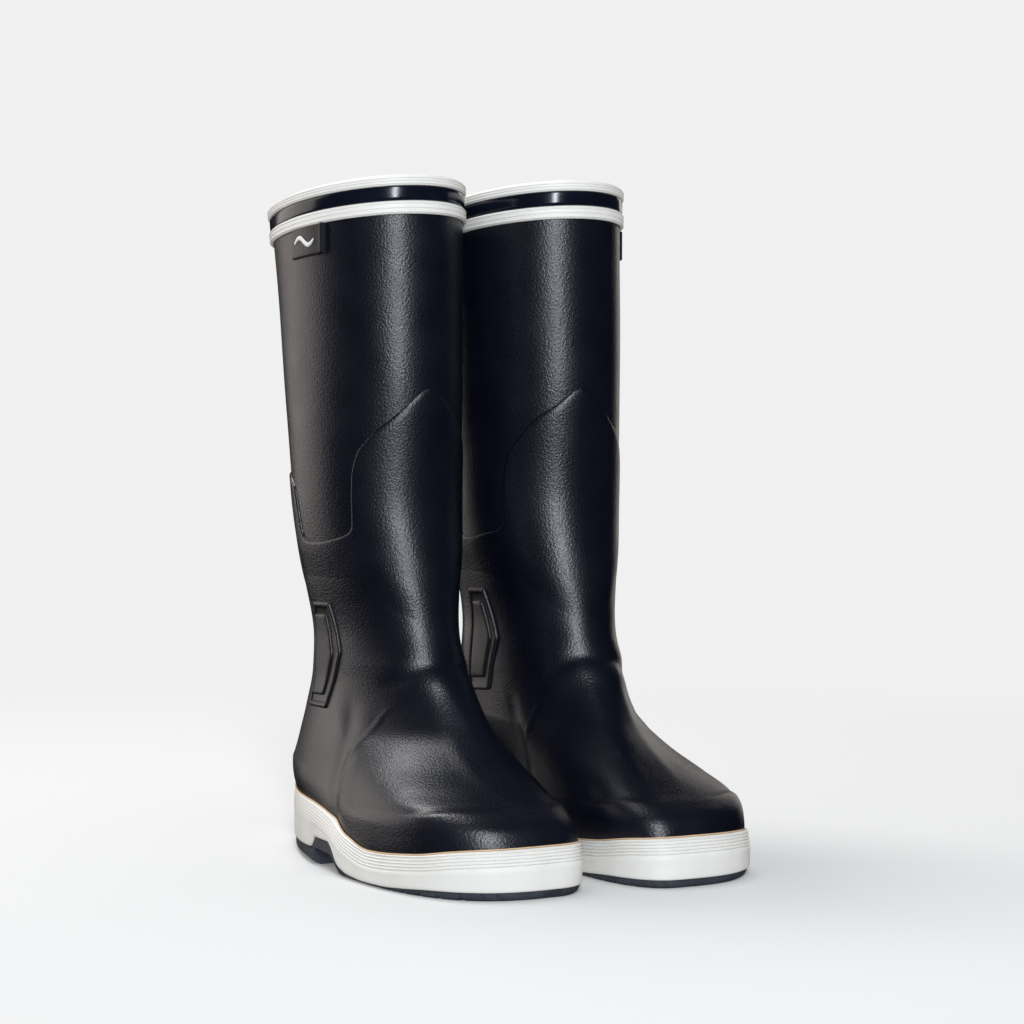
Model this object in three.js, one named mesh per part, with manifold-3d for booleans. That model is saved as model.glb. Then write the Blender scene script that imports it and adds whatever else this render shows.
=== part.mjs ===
// A pair of tall rubber deck boots, each built up in layers as on a last: lining, rubber upper, stiffeners,
// bands, leg guard, ankle plates, and a sole of foxing, outsole, heel block, midsole, shank and footbed.
// Millimetres, +Z up, toes towards -Y. The origin is at floor level under the middle of the pair's box.

import * as THREE from 'three';
import { mergeVertices } from 'three/addons/utils/BufferGeometryUtils.js';
import Module from 'manifold-3d';

const wasm = await Module();
wasm.setup();

// ---------------------------------------------------------------- overall sizes
const FOOT_LENGTH = 279;       // sole, heel to toe
const BALL_OUTER = 66;         // sole's half width at the ball, outer side of the foot
const BALL_INNER = 47;         // the same on the inner side
const TOE_SWING = 9;           // the toe's tip lies this far towards the inner side
const WAIST_DEPTH = 5;         // hollow of the sole's inner edge at the waist
const HEEL_BLUNT = 0.4;        // widening of the heel's end past a plain ellipse
const HEEL_BLUNT_SPREAD = 0.32;   // radians to each side of the heel's tip
const SOLE_SETIN = 2;          // back of the sole ahead of the heel's bulge
const BOOT_HEIGHT = 408;       // floor to the middle of the topline
const TOPLINE_RISE = 20;       // front of the topline above its back
const RISE_START = 232;        // the topline's slope fades out at this height
const TOP_DEPTH = 160;         // leg opening, front to back
const TOP_WIDTH = 105;
const TOP_OVERHANG = 23;       // back of the topline behind the heel
const ANKLE_HEIGHT = 135;
const ANKLE_DEPTH = 126;
const ANKLE_WIDTH = 77;
const ANKLE_SETIN = 26;        // back of the ankle ahead of the heel
const LEG_SHIFT = 3;           // the leg stands this far towards the foot's inner side
const LEG_CLEARANCE = 5;       // between the two legs at the topline
const LEFT_AHEAD = 12;         // left boot stands this far forward
const LEFT_TURN = -4.5;        // degrees
const SOLE_REAR_POWER = 1.76;  // superellipse power of the rear quarters, at the sole
const REAR_POWER = 2.05;       // from the heel's bulge to the topline
const ANKLE_REAR_POWER = 3.3;  // at the ankle's inner side, where the rubber stands fuller
const TOE_POWER = 2.7;         // of the front quarters, at the sole
const WAIST_AT = 0.37;         // middle of the waist's hollow, as a share of the foot's length
const WAIST_SPREAD = 0.13;

// ---------------------------------------------------------------- walls and clearances
const GAP = 0.3;               // between pieces that touch
const SKIN_GAP = 0.5;          // under pieces that lie on the curved rubber
const COUNTER_GAP = 0.7;       // under the heel counter
const GUARD_GAP = 1;           // under the leg guard
const PLATE_GAP = 0.8;         // under the plates, where the ankle curves both ways
const FOXING_GAP = 0.6;        // round the foot, inside the foxing
const RUBBER = 2.6;
const STIFFENER = 1;
const LINING = 2;
const BOARD = 1.8;
const FOOTBED = 4.5;
const FOOTBED_ROOM = 1.4;      // between the footbed's edge and the lining
const BOARD_ROOM = 0.6;
const SHANK_THICKNESS = 1.2;
const SHANK_WIDTH = 18;
const SHANK_LENGTH = 74;
const HEEL_BEVEL = 7;          // how far the tread is set in round the heel
const TREAD_BEVEL = 4.5;       // and round the forefoot
const BEVEL_HEIGHT = 4;
const CLEAT_WIDTH = 2.4;       // channels across the tread
const CLEAT_DEPTH = 2;
const CLEAT_PITCH = 13;
const HEEL_PITCH = 19.5;

// ---------------------------------------------------------------- bands, guard and plates
const BINDING_HEIGHT = 6.2;
const COLLAR_HEIGHT = 8.2;
const LOWER_BAND_HEIGHT = 7.6;
const BAND_PROUD = 1.6;
const COLLAR_PROUD = 0.9;
const GUARD_PROUD = 1.2;
const PLATE_PROUD = 1.5;
const PAD_PROUD = 1.4;
const CAP_PROUD = 1;
const LINE_HEIGHT = 1.3;       // fine line along the foxing's top edge
const LINE_PROUD = 1.9;
const LABEL_WIDTH = 32;
const LABEL_HEIGHT = 22;
const LABEL_PROUD = 1.5;
const MARK_PROUD = 0.8;
const GUARD_PEAK = 152;        // front peak of the leg guard, above the ankle like the five below
const GUARD_SHOULDER = 108;    // top of the notch beside the shin
const GUARD_NOTCH = 63;        // floor of the side notches
const GUARD_REAR = 101;        // rear stay's corners
const GUARD_SIDE_BASE = 37;    // lower edge above the ankle plates
const GUARD_END_BASE = 1;      // lower edge in front and behind
const COUNTER_TOP = 57;

// ---------------------------------------------------------------- sole levels
const HEEL_THICKNESS = 10;     // outsole under the heel
const ARCH_TOP = 18;           // outsole's upper face at the arch
const ARCH_LIFT = 8;           // clear height under the arch
const FOREFOOT_THICKNESS = 5.5;
const HEEL_LENGTH = 108;       // back of the heel to the heel breast
const FOREPART_START = 144;    // rear end of the forefoot tread
const BREAST_SLOPE = 5;
const RAMP = 12;
const HEEL_FLOOR = 22.5;       // underside of the upper at the heel
const BALL_FLOOR = 13.5;
const TOE_FLOOR = 15;
const FOXING_HEEL = 39;        // top of the foxing, at the heel and at two more places
const FOXING_BALL = 22;
const FOXING_TOE = 29;

// ---------------------------------------------------------------- curves
// Monotone cubic through the given points, flat beyond both ends.
function curve(points) {
  const x = points.map((p) => p[0]);
  const y = points.map((p) => p[1]);
  const last = x.length - 1;
  const slopes = x.slice(1).map((xi, i) => (y[i + 1] - y[i]) / (xi - x[i]));
  const tangents = x.map((_, i) => {
    if (i === 0) return slopes[0];
    if (i === last) return slopes[last - 1];
    if (slopes[i - 1] * slopes[i] <= 0) return 0;
    return (2 * slopes[i - 1] * slopes[i]) / (slopes[i - 1] + slopes[i]);
  });
  return (at) => {
    if (at <= x[0]) return y[0];
    if (at >= x[last]) return y[last];
    const i = x.findIndex((xi) => xi > at) - 1;
    const h = x[i + 1] - x[i];
    const t = (at - x[i]) / h;
    return y[i] * (1 + 2 * t) * (1 - t) ** 2 + tangents[i] * h * t * (1 - t) ** 2
      + y[i + 1] * t * t * (3 - 2 * t) - tangents[i + 1] * h * t * t * (1 - t);
  };
}

// Straight lines through the given points.
function broken(points) {
  return (at) => {
    if (at <= points[0][0]) return points[0][1];
    const i = points.findIndex((p) => p[0] > at);
    if (i < 0) return points[points.length - 1][1];
    const [x0, y0] = points[i - 1];
    const [x1, y1] = points[i];
    return y0 + ((y1 - y0) * (at - x0)) / (x1 - x0);
  };
}

const mix = (a, b, t) => a + (b - a) * t;
const clamp01 = (t) => Math.min(1, Math.max(0, t));

// ---------------------------------------------------------------- the boot's skin
// Level cuts of the skin are four quarter superellipses that meet at the toe, the heel and the two widest
// points. "Ahead" is the distance forward of the heel and "aside" is towards the foot's outer side.
const SHIN = ANKLE_SETIN + ANKLE_DEPTH;
const ANKLE_MIDDLE = ANKLE_SETIN + 0.44 * ANKLE_DEPTH;
const TOP_MIDDLE = TOP_DEPTH * 0.55 - TOP_OVERHANG;
const WIDEST_OUTER = 0.587 * FOOT_LENGTH;
const WIDEST_INNER = 0.65 * FOOT_LENGTH;
const footLevel = (share) => share * ANKLE_HEIGHT;
const legLevel = (share) => mix(ANKLE_HEIGHT, BOOT_HEIGHT, share);

// Foot: shares of the way from the ankle's size to the sole's.
const footBack = [[0.09, 0.2], [0.2, 0.2], [0.27, 0.15], [0.33, 0.05], [0.41, 0.06], [0.48, 0.13],
  [0.56, 0.22], [0.65, 0.38], [0.83, 0.78], [1, 1]];
const footReach = [[0.09, 0.92], [0.19, 0.955], [0.27, 0.935], [0.345, 0.82], [0.41, 0.68], [0.48, 0.54],
  [0.555, 0.41], [0.65, 0.28], [0.83, 0.115], [1, 0]];
const footSpread = [[0.09, 0.95], [0.19, 1], [0.27, 1], [0.345, 0.92], [0.41, 0.74], [0.48, 0.53],
  [0.555, 0.34], [0.65, 0.14], [0.83, 0], [1, 0]];
const footSlide = [[0.27, 1], [0.345, 0.95], [0.41, 0.83], [0.48, 0.66], [0.555, 0.49], [0.65, 0.27],
  [0.83, 0.07], [1, 0]];
const innerFrontPower = [[0.27, TOE_POWER], [0.41, 2.5], [0.555, 2.1], [0.65, 2]];
const outerFrontPower = [[0.27, TOE_POWER], [0.345, 2.9], [0.41, 2.4], [0.5, 1.8], [0.6, 1.55], [0.72, 1.65],
  [0.9, 2]];

// Leg: shares of the way from the ankle's size to the topline's.
const legBack = [[0.15, 0.1], [0.33, 0.22], [0.59, 0.46], [1, 1]];
const legFront = [[0.15, 0.57], [0.33, 1.05], [0.59, 0.85], [1, 1]];
const legSpread = [[0.15, 0.42], [0.33, 0.78], [0.59, 0.92], [1, 1]];
const legSlide = [[0.15, 0.35], [0.33, 0.59], [0.59, 0.88], [1, 1]];

function profile(foot, footValue, leg, legValue) {
  return curve([...foot.map(([z, v]) => [footLevel(z), footValue(v)]),
    ...leg.map(([z, v]) => [legLevel(z), legValue(v)])]);
}

const half = ANKLE_WIDTH / 2;
const topFront = TOP_DEPTH - TOP_OVERHANG;
const skinBack = profile(footBack, (v) => ANKLE_SETIN * v, legBack,
  (v) => mix(ANKLE_SETIN, -TOP_OVERHANG, v));
const skinFront = profile(footReach, (v) => mix(SHIN, FOOT_LENGTH, v), legFront,
  (v) => mix(SHIN, topFront, v));
const skinOuter = profile(footSpread, (v) => mix(half, BALL_OUTER - 4, v), legSpread,
  (v) => mix(half, TOP_WIDTH / 2, v));
const skinInner = profile(footSpread, (v) => mix(half, BALL_INNER - 3, v), legSpread,
  (v) => mix(half, TOP_WIDTH / 2, v));
const outerAt = profile(footSlide, (v) => mix(ANKLE_MIDDLE, WIDEST_OUTER, v), legSlide,
  (v) => mix(ANKLE_MIDDLE, TOP_MIDDLE, v));
const innerAt = profile(footSlide, (v) => mix(ANKLE_MIDDLE, WIDEST_INNER, v), legSlide,
  (v) => mix(ANKLE_MIDDLE, TOP_MIDDLE, v));
const overFoot = (points) => curve(points.map(([z, v]) => [footLevel(z), v]));
const outerFront = overFoot(outerFrontPower);
const innerFront = overFoot(innerFrontPower);
const outerRear = overFoot([[0.28, SOLE_REAR_POWER], [0.42, REAR_POWER]]);
const innerRear = curve([[footLevel(0.28), SOLE_REAR_POWER], [footLevel(0.42), REAR_POWER],
  [footLevel(0.75), ANKLE_REAR_POWER], [legLevel(0.12), ANKLE_REAR_POWER], [legLevel(0.33), REAR_POWER]]);
const swingAt = (z) => TOE_SWING * clamp01((footLevel(0.83) - z) / footLevel(0.41));
const bluntAt = (z) => HEEL_BLUNT * clamp01((footLevel(0.8) - z) / footLevel(0.35));
const shiftAt = (z) => LEG_SHIFT * clamp01((z - footLevel(0.42)) / footLevel(0.42));
const waistAt = (z) => WAIST_DEPTH * clamp01((footLevel(0.6) - z) / footLevel(0.3));

// A point of a level cut; the angle runs from the outer side over the toe to the inner side.
function levelCut(angle, cut) {
  const c = Math.cos(angle);
  const s = Math.sin(angle);
  const [front, rear] = c > 0 ? cut.outerPowers : cut.innerPowers;
  const power = 2 / (s > 0 ? front : rear);
  const across = Math.abs(c) ** power;
  const along = Math.abs(s) ** power;
  const widest = c > 0 ? cut.outerAt : cut.innerAt;
  const ahead = s > 0 ? mix(widest, cut.front, along) : mix(widest, cut.back, along);
  const tip = s > 0 ? -cut.swing : 0;
  const aside = mix(tip, c > 0 ? cut.outer : -cut.inner, across);
  const fromWaist = (ahead / FOOT_LENGTH - WAIST_AT) / WAIST_SPREAD;
  const hollow = c > 0 ? 0 : cut.waist * Math.exp(-(fromWaist ** 2));
  const fromHeel = (((angle + Math.PI / 2 + Math.PI) % (2 * Math.PI)) - Math.PI) / HEEL_BLUNT_SPREAD;
  const blunt = 1 + cut.blunt * Math.exp(-(fromHeel ** 2));
  return { aside: (aside + hollow) * blunt - cut.shift, ahead };
}

const skinCut = (z) => ({ back: skinBack(z), front: skinFront(z), outer: skinOuter(z), inner: skinInner(z),
  outerAt: outerAt(z), innerAt: innerAt(z), swing: swingAt(z), waist: waistAt(z),
  shift: shiftAt(z), blunt: bluntAt(z), outerPowers: [outerFront(z), outerRear(z)],
  innerPowers: [innerFront(z), innerRear(z)] });
const soleCut = { back: SOLE_SETIN, front: FOOT_LENGTH, outer: BALL_OUTER, inner: BALL_INNER,
  outerAt: WIDEST_OUTER, innerAt: WIDEST_INNER, swing: TOE_SWING, waist: WAIST_DEPTH, shift: 0,
  blunt: HEEL_BLUNT, outerPowers: [TOE_POWER, SOLE_REAR_POWER], innerPowers: [TOE_POWER, SOLE_REAR_POWER] };

// The topline slopes, so levels high on the leg are lifted in front and lowered behind.
function lifted(z, ahead) {
  const share = clamp01((z - RISE_START) / (BOOT_HEIGHT - RISE_START));
  return z + TOPLINE_RISE * share * ((ahead - TOP_MIDDLE) / TOP_DEPTH);
}

// Boot space: x aside (outer side positive), y back from the middle of the sole, z up.
function skinPoint(z, angle) {
  const { aside, ahead } = levelCut(angle, skinCut(z));
  return new THREE.Vector3(aside, FOOT_LENGTH / 2 - ahead, lifted(z, ahead));
}

function skinNormal(z, angle) {
  const dz = skinPoint(z + 0.5, angle).sub(skinPoint(z - 0.5, angle));
  const da = skinPoint(z, angle + 0.02).sub(skinPoint(z, angle - 0.02));
  return da.cross(dz).normalize().negate();
}

const onSkin = (z, angle, proud) => skinPoint(z, angle).addScaledVector(skinNormal(z, angle), proud);
const aheadOf = (point) => FOOT_LENGTH / 2 - point.y;

// Angle at which a cut reaches a given distance ahead, on one side of the boot.
function angleAt(cut, ahead, side) {
  const widest = side > 0 ? cut.outerAt : cut.innerAt;
  const end = ahead > widest ? cut.front : cut.back;
  const [front, rear] = side > 0 ? cut.outerPowers : cut.innerPowers;
  const power = (ahead > widest ? front : rear) / 2;
  const reach = Math.min(1, (ahead - widest) / (end - widest));
  const angle = Math.asin(reach ** power) * Math.sign(ahead - widest);
  return side > 0 ? angle : Math.PI - angle;
}

// ---------------------------------------------------------------- stations round the boot
// Every layer shares them, so that neighbouring layers stay parallel. They run from the heel's tip along the
// outer side to the toe's tip and back along the inner side, in matching pairs.
const stationShares = [0.03, 0.1, 0.2, 0.3];
const foreShares = [0.62, 0.72, 0.82, 0.91, 0.965, 0.992];
const stations = [...stationShares.map((s) => s * FOOT_LENGTH), HEEL_LENGTH - BREAST_SLOPE / 2,
  HEEL_LENGTH + BREAST_SLOPE / 2, FOREPART_START - RAMP / 2, FOREPART_START + RAMP / 2,
  ...foreShares.map((s) => s * FOOT_LENGTH)];
const angles = [-Math.PI / 2, ...stations.map((u) => angleAt(soleCut, u, 1)), Math.PI / 2,
  ...[...stations].reverse().map((u) => angleAt(soleCut, u, -1))];
const HEEL_COUNT = stationShares.length + 1;   // stations on the heel, behind the breast
const archStations = stations.slice(HEEL_COUNT - 1, HEEL_COUNT + 3);
const stationOf = (i) => stations[Math.min(i, angles.length - i) - 1];

// ---------------------------------------------------------------- solids from rows of points
function solid(points, faces) {
  const geometry = new THREE.BufferGeometry();
  const flat = points.flatMap((p) => [p.x, p.y, p.z]);
  geometry.setAttribute('position', new THREE.Float32BufferAttribute(flat, 3));
  const volume = faces.reduce((sum, [a, b, c]) => sum + points[a].dot(points[b].clone().cross(points[c])), 0);
  geometry.setIndex(faces.flatMap(([a, b, c]) => (volume > 0 ? [a, b, c] : [a, c, b])));
  return geometry;
}

// Two triangles of a four-cornered face, split from a to c or, if turned, from b to d.
const quad = (a, b, c, d, turned = false) => (turned ? [[a, b, d], [b, c, d]] : [[a, b, c], [a, c, d]]);
const meanHeight = (points) => points.reduce((sum, p) => sum + p.z, 0) / points.length;

// Rings stacked from one end to the other, closed at both ends by rungs between matching stations.
function stack(rings) {
  const n = rings[0].length;
  const at = (ring, i) => ring * n + (i % n);
  const faces = [];
  for (let r = 0; r + 1 < rings.length; r += 1) {
    const falling = meanHeight(rings[r + 1]) < meanHeight(rings[r]);
    for (let i = 0; i < n; i += 1) {
      faces.push(...quad(at(r, i), at(r, i + 1), at(r + 1, i + 1), at(r + 1, i), falling));
    }
  }
  const rungs = (ring, flip) => {
    for (let i = 0; i < Math.floor(n / 2); i += 1) {
      const left = (n - i) % n;
      const strip = i === 0 ? [[0, 1, n - 1]] : quad(i, i + 1, left - 1, left);
      for (const tri of strip.filter((corners) => new Set(corners).size === 3)) {
        const [a, b, c] = tri.map((k) => at(ring, k));
        faces.push(flip ? [a, c, b] : [a, b, c]);
      }
    }
  };
  rungs(0, true);
  rungs(rings.length - 1, false);
  return solid(rings.flat(), faces);
}

// A loop of points carried round a closed path: a band.
function band(loops) {
  const m = loops[0].length;
  const n = loops.length;
  const at = (i, k) => (i % n) * m + (k % m);
  const faces = [];
  for (let i = 0; i < n; i += 1) {
    for (let k = 0; k < m; k += 1) {
      const falling = loops[i][(k + 1) % m].z < loops[i][k].z;
      faces.push(...quad(at(i, k), at(i + 1, k), at(i + 1, k + 1), at(i, k + 1), falling));
    }
  }
  return solid(loops.flat(), faces);
}

// A sheet of rows and columns with an outer and an inner face.
function sheet(outer, inner) {
  const rows = outer.length;
  const columns = outer[0].length;
  const size = rows * columns;
  const at = (r, c) => r * columns + c;
  const faces = [];
  for (let r = 0; r + 1 < rows; r += 1) {
    for (let c = 0; c + 1 < columns; c += 1) {
      const corners = [at(r, c), at(r, c + 1), at(r + 1, c + 1), at(r + 1, c)];
      const [a, b, far, d] = corners.map((k) => size + k);
      faces.push(...quad(...corners), ...quad(a, d, far, b));
    }
  }
  const edge = [];
  for (let c = 0; c + 1 < columns; c += 1) edge.push(at(0, c));
  for (let r = 0; r + 1 < rows; r += 1) edge.push(at(r, columns - 1));
  for (let c = columns - 1; c > 0; c -= 1) edge.push(at(rows - 1, c));
  for (let r = rows - 1; r > 0; r -= 1) edge.push(at(r, 0));
  edge.forEach((a, i) => {
    const b = edge[(i + 1) % edge.length];
    faces.push(...quad(b, a, size + a, size + b));
  });
  return solid([...outer.flat(), ...inner.flat()], faces);
}

const WELD = 1e-4;             // corners closer than this are one

function toManifold(geometry) {
  const bare = geometry.clone();
  const extras = Object.keys(bare.attributes).filter((name) => name !== 'position');
  extras.forEach((name) => bare.deleteAttribute(name));
  const merged = mergeVertices(bare, WELD);
  return new wasm.Manifold(new wasm.Mesh({ numProp: 3, vertProperties: merged.attributes.position.array,
    triVerts: Uint32Array.from(merged.index.array) }));
}

function fromManifold(manifold) {
  const mesh = manifold.getMesh();
  const geometry = new THREE.BufferGeometry();
  const positions = [];
  for (let i = 0; i < mesh.numVert; i += 1) {
    const start = i * mesh.numProp;
    positions.push(...mesh.vertProperties.slice(start, start + 3));
  }
  geometry.setAttribute('position', new THREE.Float32BufferAttribute(positions, 3));
  geometry.setIndex(Array.from(mesh.triVerts));
  return geometry;
}

function cut(geometry, tools) {
  return fromManifold(tools.reduce((body, tool) => body.subtract(toManifold(tool)), toManifold(geometry)));
}

// ---------------------------------------------------------------- levels
const floorAt = curve([[0, HEEL_FLOOR], [FOREPART_START - RAMP / 2, HEEL_FLOOR],
  [0.62 * FOOT_LENGTH, BALL_FLOOR + 2.5], [0.72 * FOOT_LENGTH, BALL_FLOOR], [FOOT_LENGTH, TOE_FLOOR]]);
const foxingTopAt = curve([[0, FOXING_HEEL], [0.36 * FOOT_LENGTH, FOXING_HEEL - 1],
  [0.5 * FOOT_LENGTH, mix(FOXING_BALL, FOXING_HEEL, 0.65)], [0.6 * FOOT_LENGTH, FOXING_BALL + 3],
  [0.7 * FOOT_LENGTH, FOXING_BALL], [0.83 * FOOT_LENGTH, FOXING_BALL + 1.5],
  [0.94 * FOOT_LENGTH, FOXING_TOE - 1.5], [FOOT_LENGTH, FOXING_TOE]]);
const breast = [HEEL_LENGTH - BREAST_SLOPE / 2, HEEL_LENGTH + BREAST_SLOPE / 2];
const ramp = [FOREPART_START - RAMP / 2, FOREPART_START + RAMP / 2];
const outsoleTopAt = broken([[breast[0], HEEL_THICKNESS], [breast[1], ARCH_TOP], [ramp[0], ARCH_TOP],
  [ramp[1], FOREFOOT_THICKNESS], [FOOT_LENGTH, FOREFOOT_THICKNESS + 1]]);
const outsoleBottomAt = broken([[breast[0], 0], [breast[1], ARCH_LIFT], [ramp[0], ARCH_LIFT], [ramp[1], 0]]);
const bevelAt = broken([[0.3 * FOOT_LENGTH, HEEL_BEVEL], [0.6 * FOOT_LENGTH, TREAD_BEVEL]]);
const midsoleBottomAt = broken([[ramp[0], ARCH_TOP + GAP], [ramp[1], FOREFOOT_THICKNESS + GAP],
  [FOOT_LENGTH, FOREFOOT_THICKNESS + 1 + GAP]]);

const COLLAR_TOP = BOOT_HEIGHT - BINDING_HEIGHT - GAP;
const LOWER_BAND_TOP = COLLAR_TOP - COLLAR_HEIGHT - GAP;
const LOWER_BAND_BASE = LOWER_BAND_TOP - LOWER_BAND_HEIGHT;
const LABEL_TOP = LOWER_BAND_BASE - 1;

const DRAWN_ANKLE = 135;       // ankle height at which the levels below were chosen; they move with the ankle
const scaledLevel = (z) => footLevel(z / DRAWN_ANKLE);
const outerLevels = [28, 35, 41, 46, 51, 57, 64, 73, 84, 98, 115, 135].map(scaledLevel);
const outerLegLevels = [...[0.06, 0.13, 0.22, 0.33, 0.46, 0.7].map(legLevel), LOWER_BAND_BASE];
const innerLevels = [30, 41, 49, 58, 70, 84, 110, 135].map(scaledLevel);
const innerLegLevels = [0.13, 0.33, 0.6].map(legLevel);
const RIM = BOOT_HEIGHT - 2;
const STIFFENER_TOP = scaledLevel(58);
const liningDepth = broken([[STIFFENER_TOP, RUBBER + STIFFENER + 2 * GAP], [scaledLevel(84), RUBBER + GAP]]);

// A ring round the boot. The level is a number or a rule of the distance ahead.
const ring = (level, proud) => angles.map((angle) => {
  const ahead = levelCut(angle, soleCut).ahead;
  const z = typeof level === 'function' ? level(ahead) : level;
  return onSkin(z, angle, proud);
});

// The lowest ring of a layer: its height is measured from the floor of the upper.
const floorRing = (depth, proud, setAhead = 0) => angles.map((angle) => {
  const point = onSkin(floorAt(levelCut(angle, soleCut).ahead) + 1, angle, proud);
  point.z = floorAt(aheadOf(point) + setAhead) + depth;
  return point;
});

// A ring of the sole's own outline, set in by a distance, at a level given by the distance ahead.
function soleRing(level, setIn) {
  return angles.map((angle) => {
    const at = (a) => {
      const { aside, ahead } = levelCut(a, soleCut);
      return new THREE.Vector2(aside, FOOT_LENGTH / 2 - ahead);
    };
    const along = at(angle + 0.02).sub(at(angle - 0.02)).normalize();
    const { aside, ahead } = levelCut(angle, soleCut);
    const inset = typeof setIn === 'function' ? setIn(ahead) : setIn;
    const back = FOOT_LENGTH / 2 - ahead;
    return new THREE.Vector3(aside + along.y * inset, back - along.x * inset, level(ahead));
  });
}

// A ring of the skin brought down into the sole; at the arch its points stand on the sole's own stations.
function lowered(points, level) {
  return points.map((point, i) => {
    const ahead = archStations.includes(stationOf(i)) ? stationOf(i) : aheadOf(point);
    return new THREE.Vector3(point.x, FOOT_LENGTH / 2 - ahead, level(ahead));
  });
}

// ---------------------------------------------------------------- upper and lining
const falling = (levels) => [...levels].reverse();

// The foot is a cup with a floor, and the leg a tube that stands on its rim.
function makeFoot() {
  const outer = outerLevels.map((z) => ring(z, 0));
  const inner = falling(innerLevels).map((z) => ring(z, -RUBBER));
  return stack([floorRing(0, 0), ...outer, ...inner, floorRing(RUBBER, -RUBBER)]);
}

function makeLeg() {
  const seam = ANKLE_HEIGHT + GAP;
  const outer = [seam, ...outerLegLevels, RIM].map((z) => ring(z, 0));
  const inner = falling([seam, ...innerLegLevels, RIM]).map((z) => ring(z, -RUBBER));
  return band(angles.map((_, i) => [...outer, ...inner].map((row) => row[i])));
}

function makeLining() {
  const levels = [...innerLevels, ...innerLegLevels, RIM];
  const outer = levels.map((z) => ring(z, -liningDepth(z)));
  const inner = falling(levels).map((z) => ring(z, -liningDepth(z) - LINING));
  const depth = liningDepth(0);
  const under = floorRing(RUBBER + GAP, -depth);
  const floor = floorRing(RUBBER + GAP + LINING, -depth - LINING);
  return stack([under, ...outer, ...inner, floor]);
}

const stiffenerLevels = innerLevels.filter((z) => z <= STIFFENER_TOP);

function makeStiffener(indices) {
  const face = (proud) => {
    const rows = [floorRing(RUBBER + 1, proud), ...stiffenerLevels.map((z) => ring(z, proud))];
    return rows.map((row) => indices.map((i) => row[i]));
  };
  return sheet(face(-RUBBER - GAP), face(-RUBBER - GAP - STIFFENER));
}

const count = angles.length;
const heelSide = HEEL_COUNT + 2;                          // last station of the heel stiffener
const heelIndices = Array.from({ length: 2 * heelSide + 1 }, (_, i) => (i - heelSide + count) % count);
const toeIndices = Array.from({ length: count - 2 * heelSide - 1 }, (_, i) => heelSide + 1 + i);

// ---------------------------------------------------------------- bands at the top of the leg
function makeBand(top, height, proud, gap) {
  return band(angles.map((angle) => [
    onSkin(top, angle, gap), onSkin(top, angle, proud), onSkin(top - height, angle, proud),
    onSkin(top - height, angle, gap)]));
}

const BAND_GAP = 0.4;
const INNER_FACE = RUBBER + GAP + LINING;

function makeBinding() {
  const low = BOOT_HEIGHT - BINDING_HEIGHT;
  return band(angles.map((angle) => [
    onSkin(low, angle, BAND_GAP), onSkin(RIM + GAP, angle, BAND_GAP),
    onSkin(RIM + GAP, angle, -INNER_FACE - BAND_GAP), onSkin(low, angle, -INNER_FACE - BAND_GAP),
    onSkin(low, angle, -INNER_FACE - BAND_PROUD), onSkin(BOOT_HEIGHT - 1, angle, -INNER_FACE - BAND_PROUD),
    onSkin(BOOT_HEIGHT, angle, -INNER_FACE), onSkin(BOOT_HEIGHT, angle, 0.6),
    onSkin(BOOT_HEIGHT - 1.2, angle, BAND_PROUD), onSkin(low, angle, BAND_PROUD)]));
}

// ---------------------------------------------------------------- leg guard
// The guard's edges, as levels round the leg: degrees from the outer side over the front to the inner side.
const overAnkle = (rule) => (degrees) => ANKLE_HEIGHT + rule(degrees);
const guardTop = overAnkle(broken([[-90, GUARD_REAR + 4], [-32, GUARD_REAR], [-12, GUARD_REAR - 6],
  [-8, GUARD_NOTCH - 3], [14, GUARD_NOTCH - 2], [36, GUARD_NOTCH + 4], [41, GUARD_SHOULDER - 2],
  [46, GUARD_SHOULDER + 9], [70, GUARD_PEAK - 17], [92, GUARD_PEAK], [118, GUARD_PEAK - 16],
  [140, GUARD_SHOULDER + 6], [145, GUARD_SHOULDER - 4], [150, GUARD_NOTCH + 4], [168, GUARD_NOTCH - 1],
  [188, GUARD_NOTCH - 3], [192, GUARD_REAR - 6], [212, GUARD_REAR], [270, GUARD_REAR + 4]]));
const guardBase = overAnkle(curve([[-90, GUARD_END_BASE], [-50, GUARD_END_BASE + 10], [-20, GUARD_SIDE_BASE],
  [30, GUARD_SIDE_BASE], [65, GUARD_END_BASE + 8], [90, GUARD_END_BASE], [115, GUARD_END_BASE + 8],
  [150, GUARD_SIDE_BASE], [200, GUARD_SIDE_BASE], [230, GUARD_END_BASE + 10], [270, GUARD_END_BASE]]));
const guardCorners = [-12, -8, 36, 41, 46, 145, 150, 188, 192];

function makeGuard() {
  const degrees = [...angles.map((a) => THREE.MathUtils.radToDeg(a)), ...guardCorners].sort((a, b) => a - b);
  const kept = degrees.filter((d, i) => i === 0 || guardCorners.includes(d)
    || guardCorners.every((corner) => Math.abs(corner - d) > 1.5));
  const steps = [0, 0.3, 0.65, 1];
  return band(kept.map((d) => {
    const angle = THREE.MathUtils.degToRad(d);
    const levels = steps.map((t) => mix(guardBase(d), guardTop(d), t));
    return [...levels.map((z) => onSkin(z, angle, GUARD_GAP + GUARD_PROUD)),
      ...falling(levels).map((z) => onSkin(z, angle, GUARD_GAP))];
  }));
}

// ---------------------------------------------------------------- plates, caps and label
// A flat outline laid on one side of the boot: each row is a level with the plate's rear and front edges.
function sidePlate(rows, side, low, high, columns) {
  const face = (proud) => rows.map(([z, rear, front]) => Array.from({ length: columns }, (_, c) => {
    const ahead = mix(rear, front, c / (columns - 1));
    return onSkin(z, angleAt(skinCut(z), ahead, side), proud);
  }));
  return sheet(face(high), face(low));
}

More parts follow.
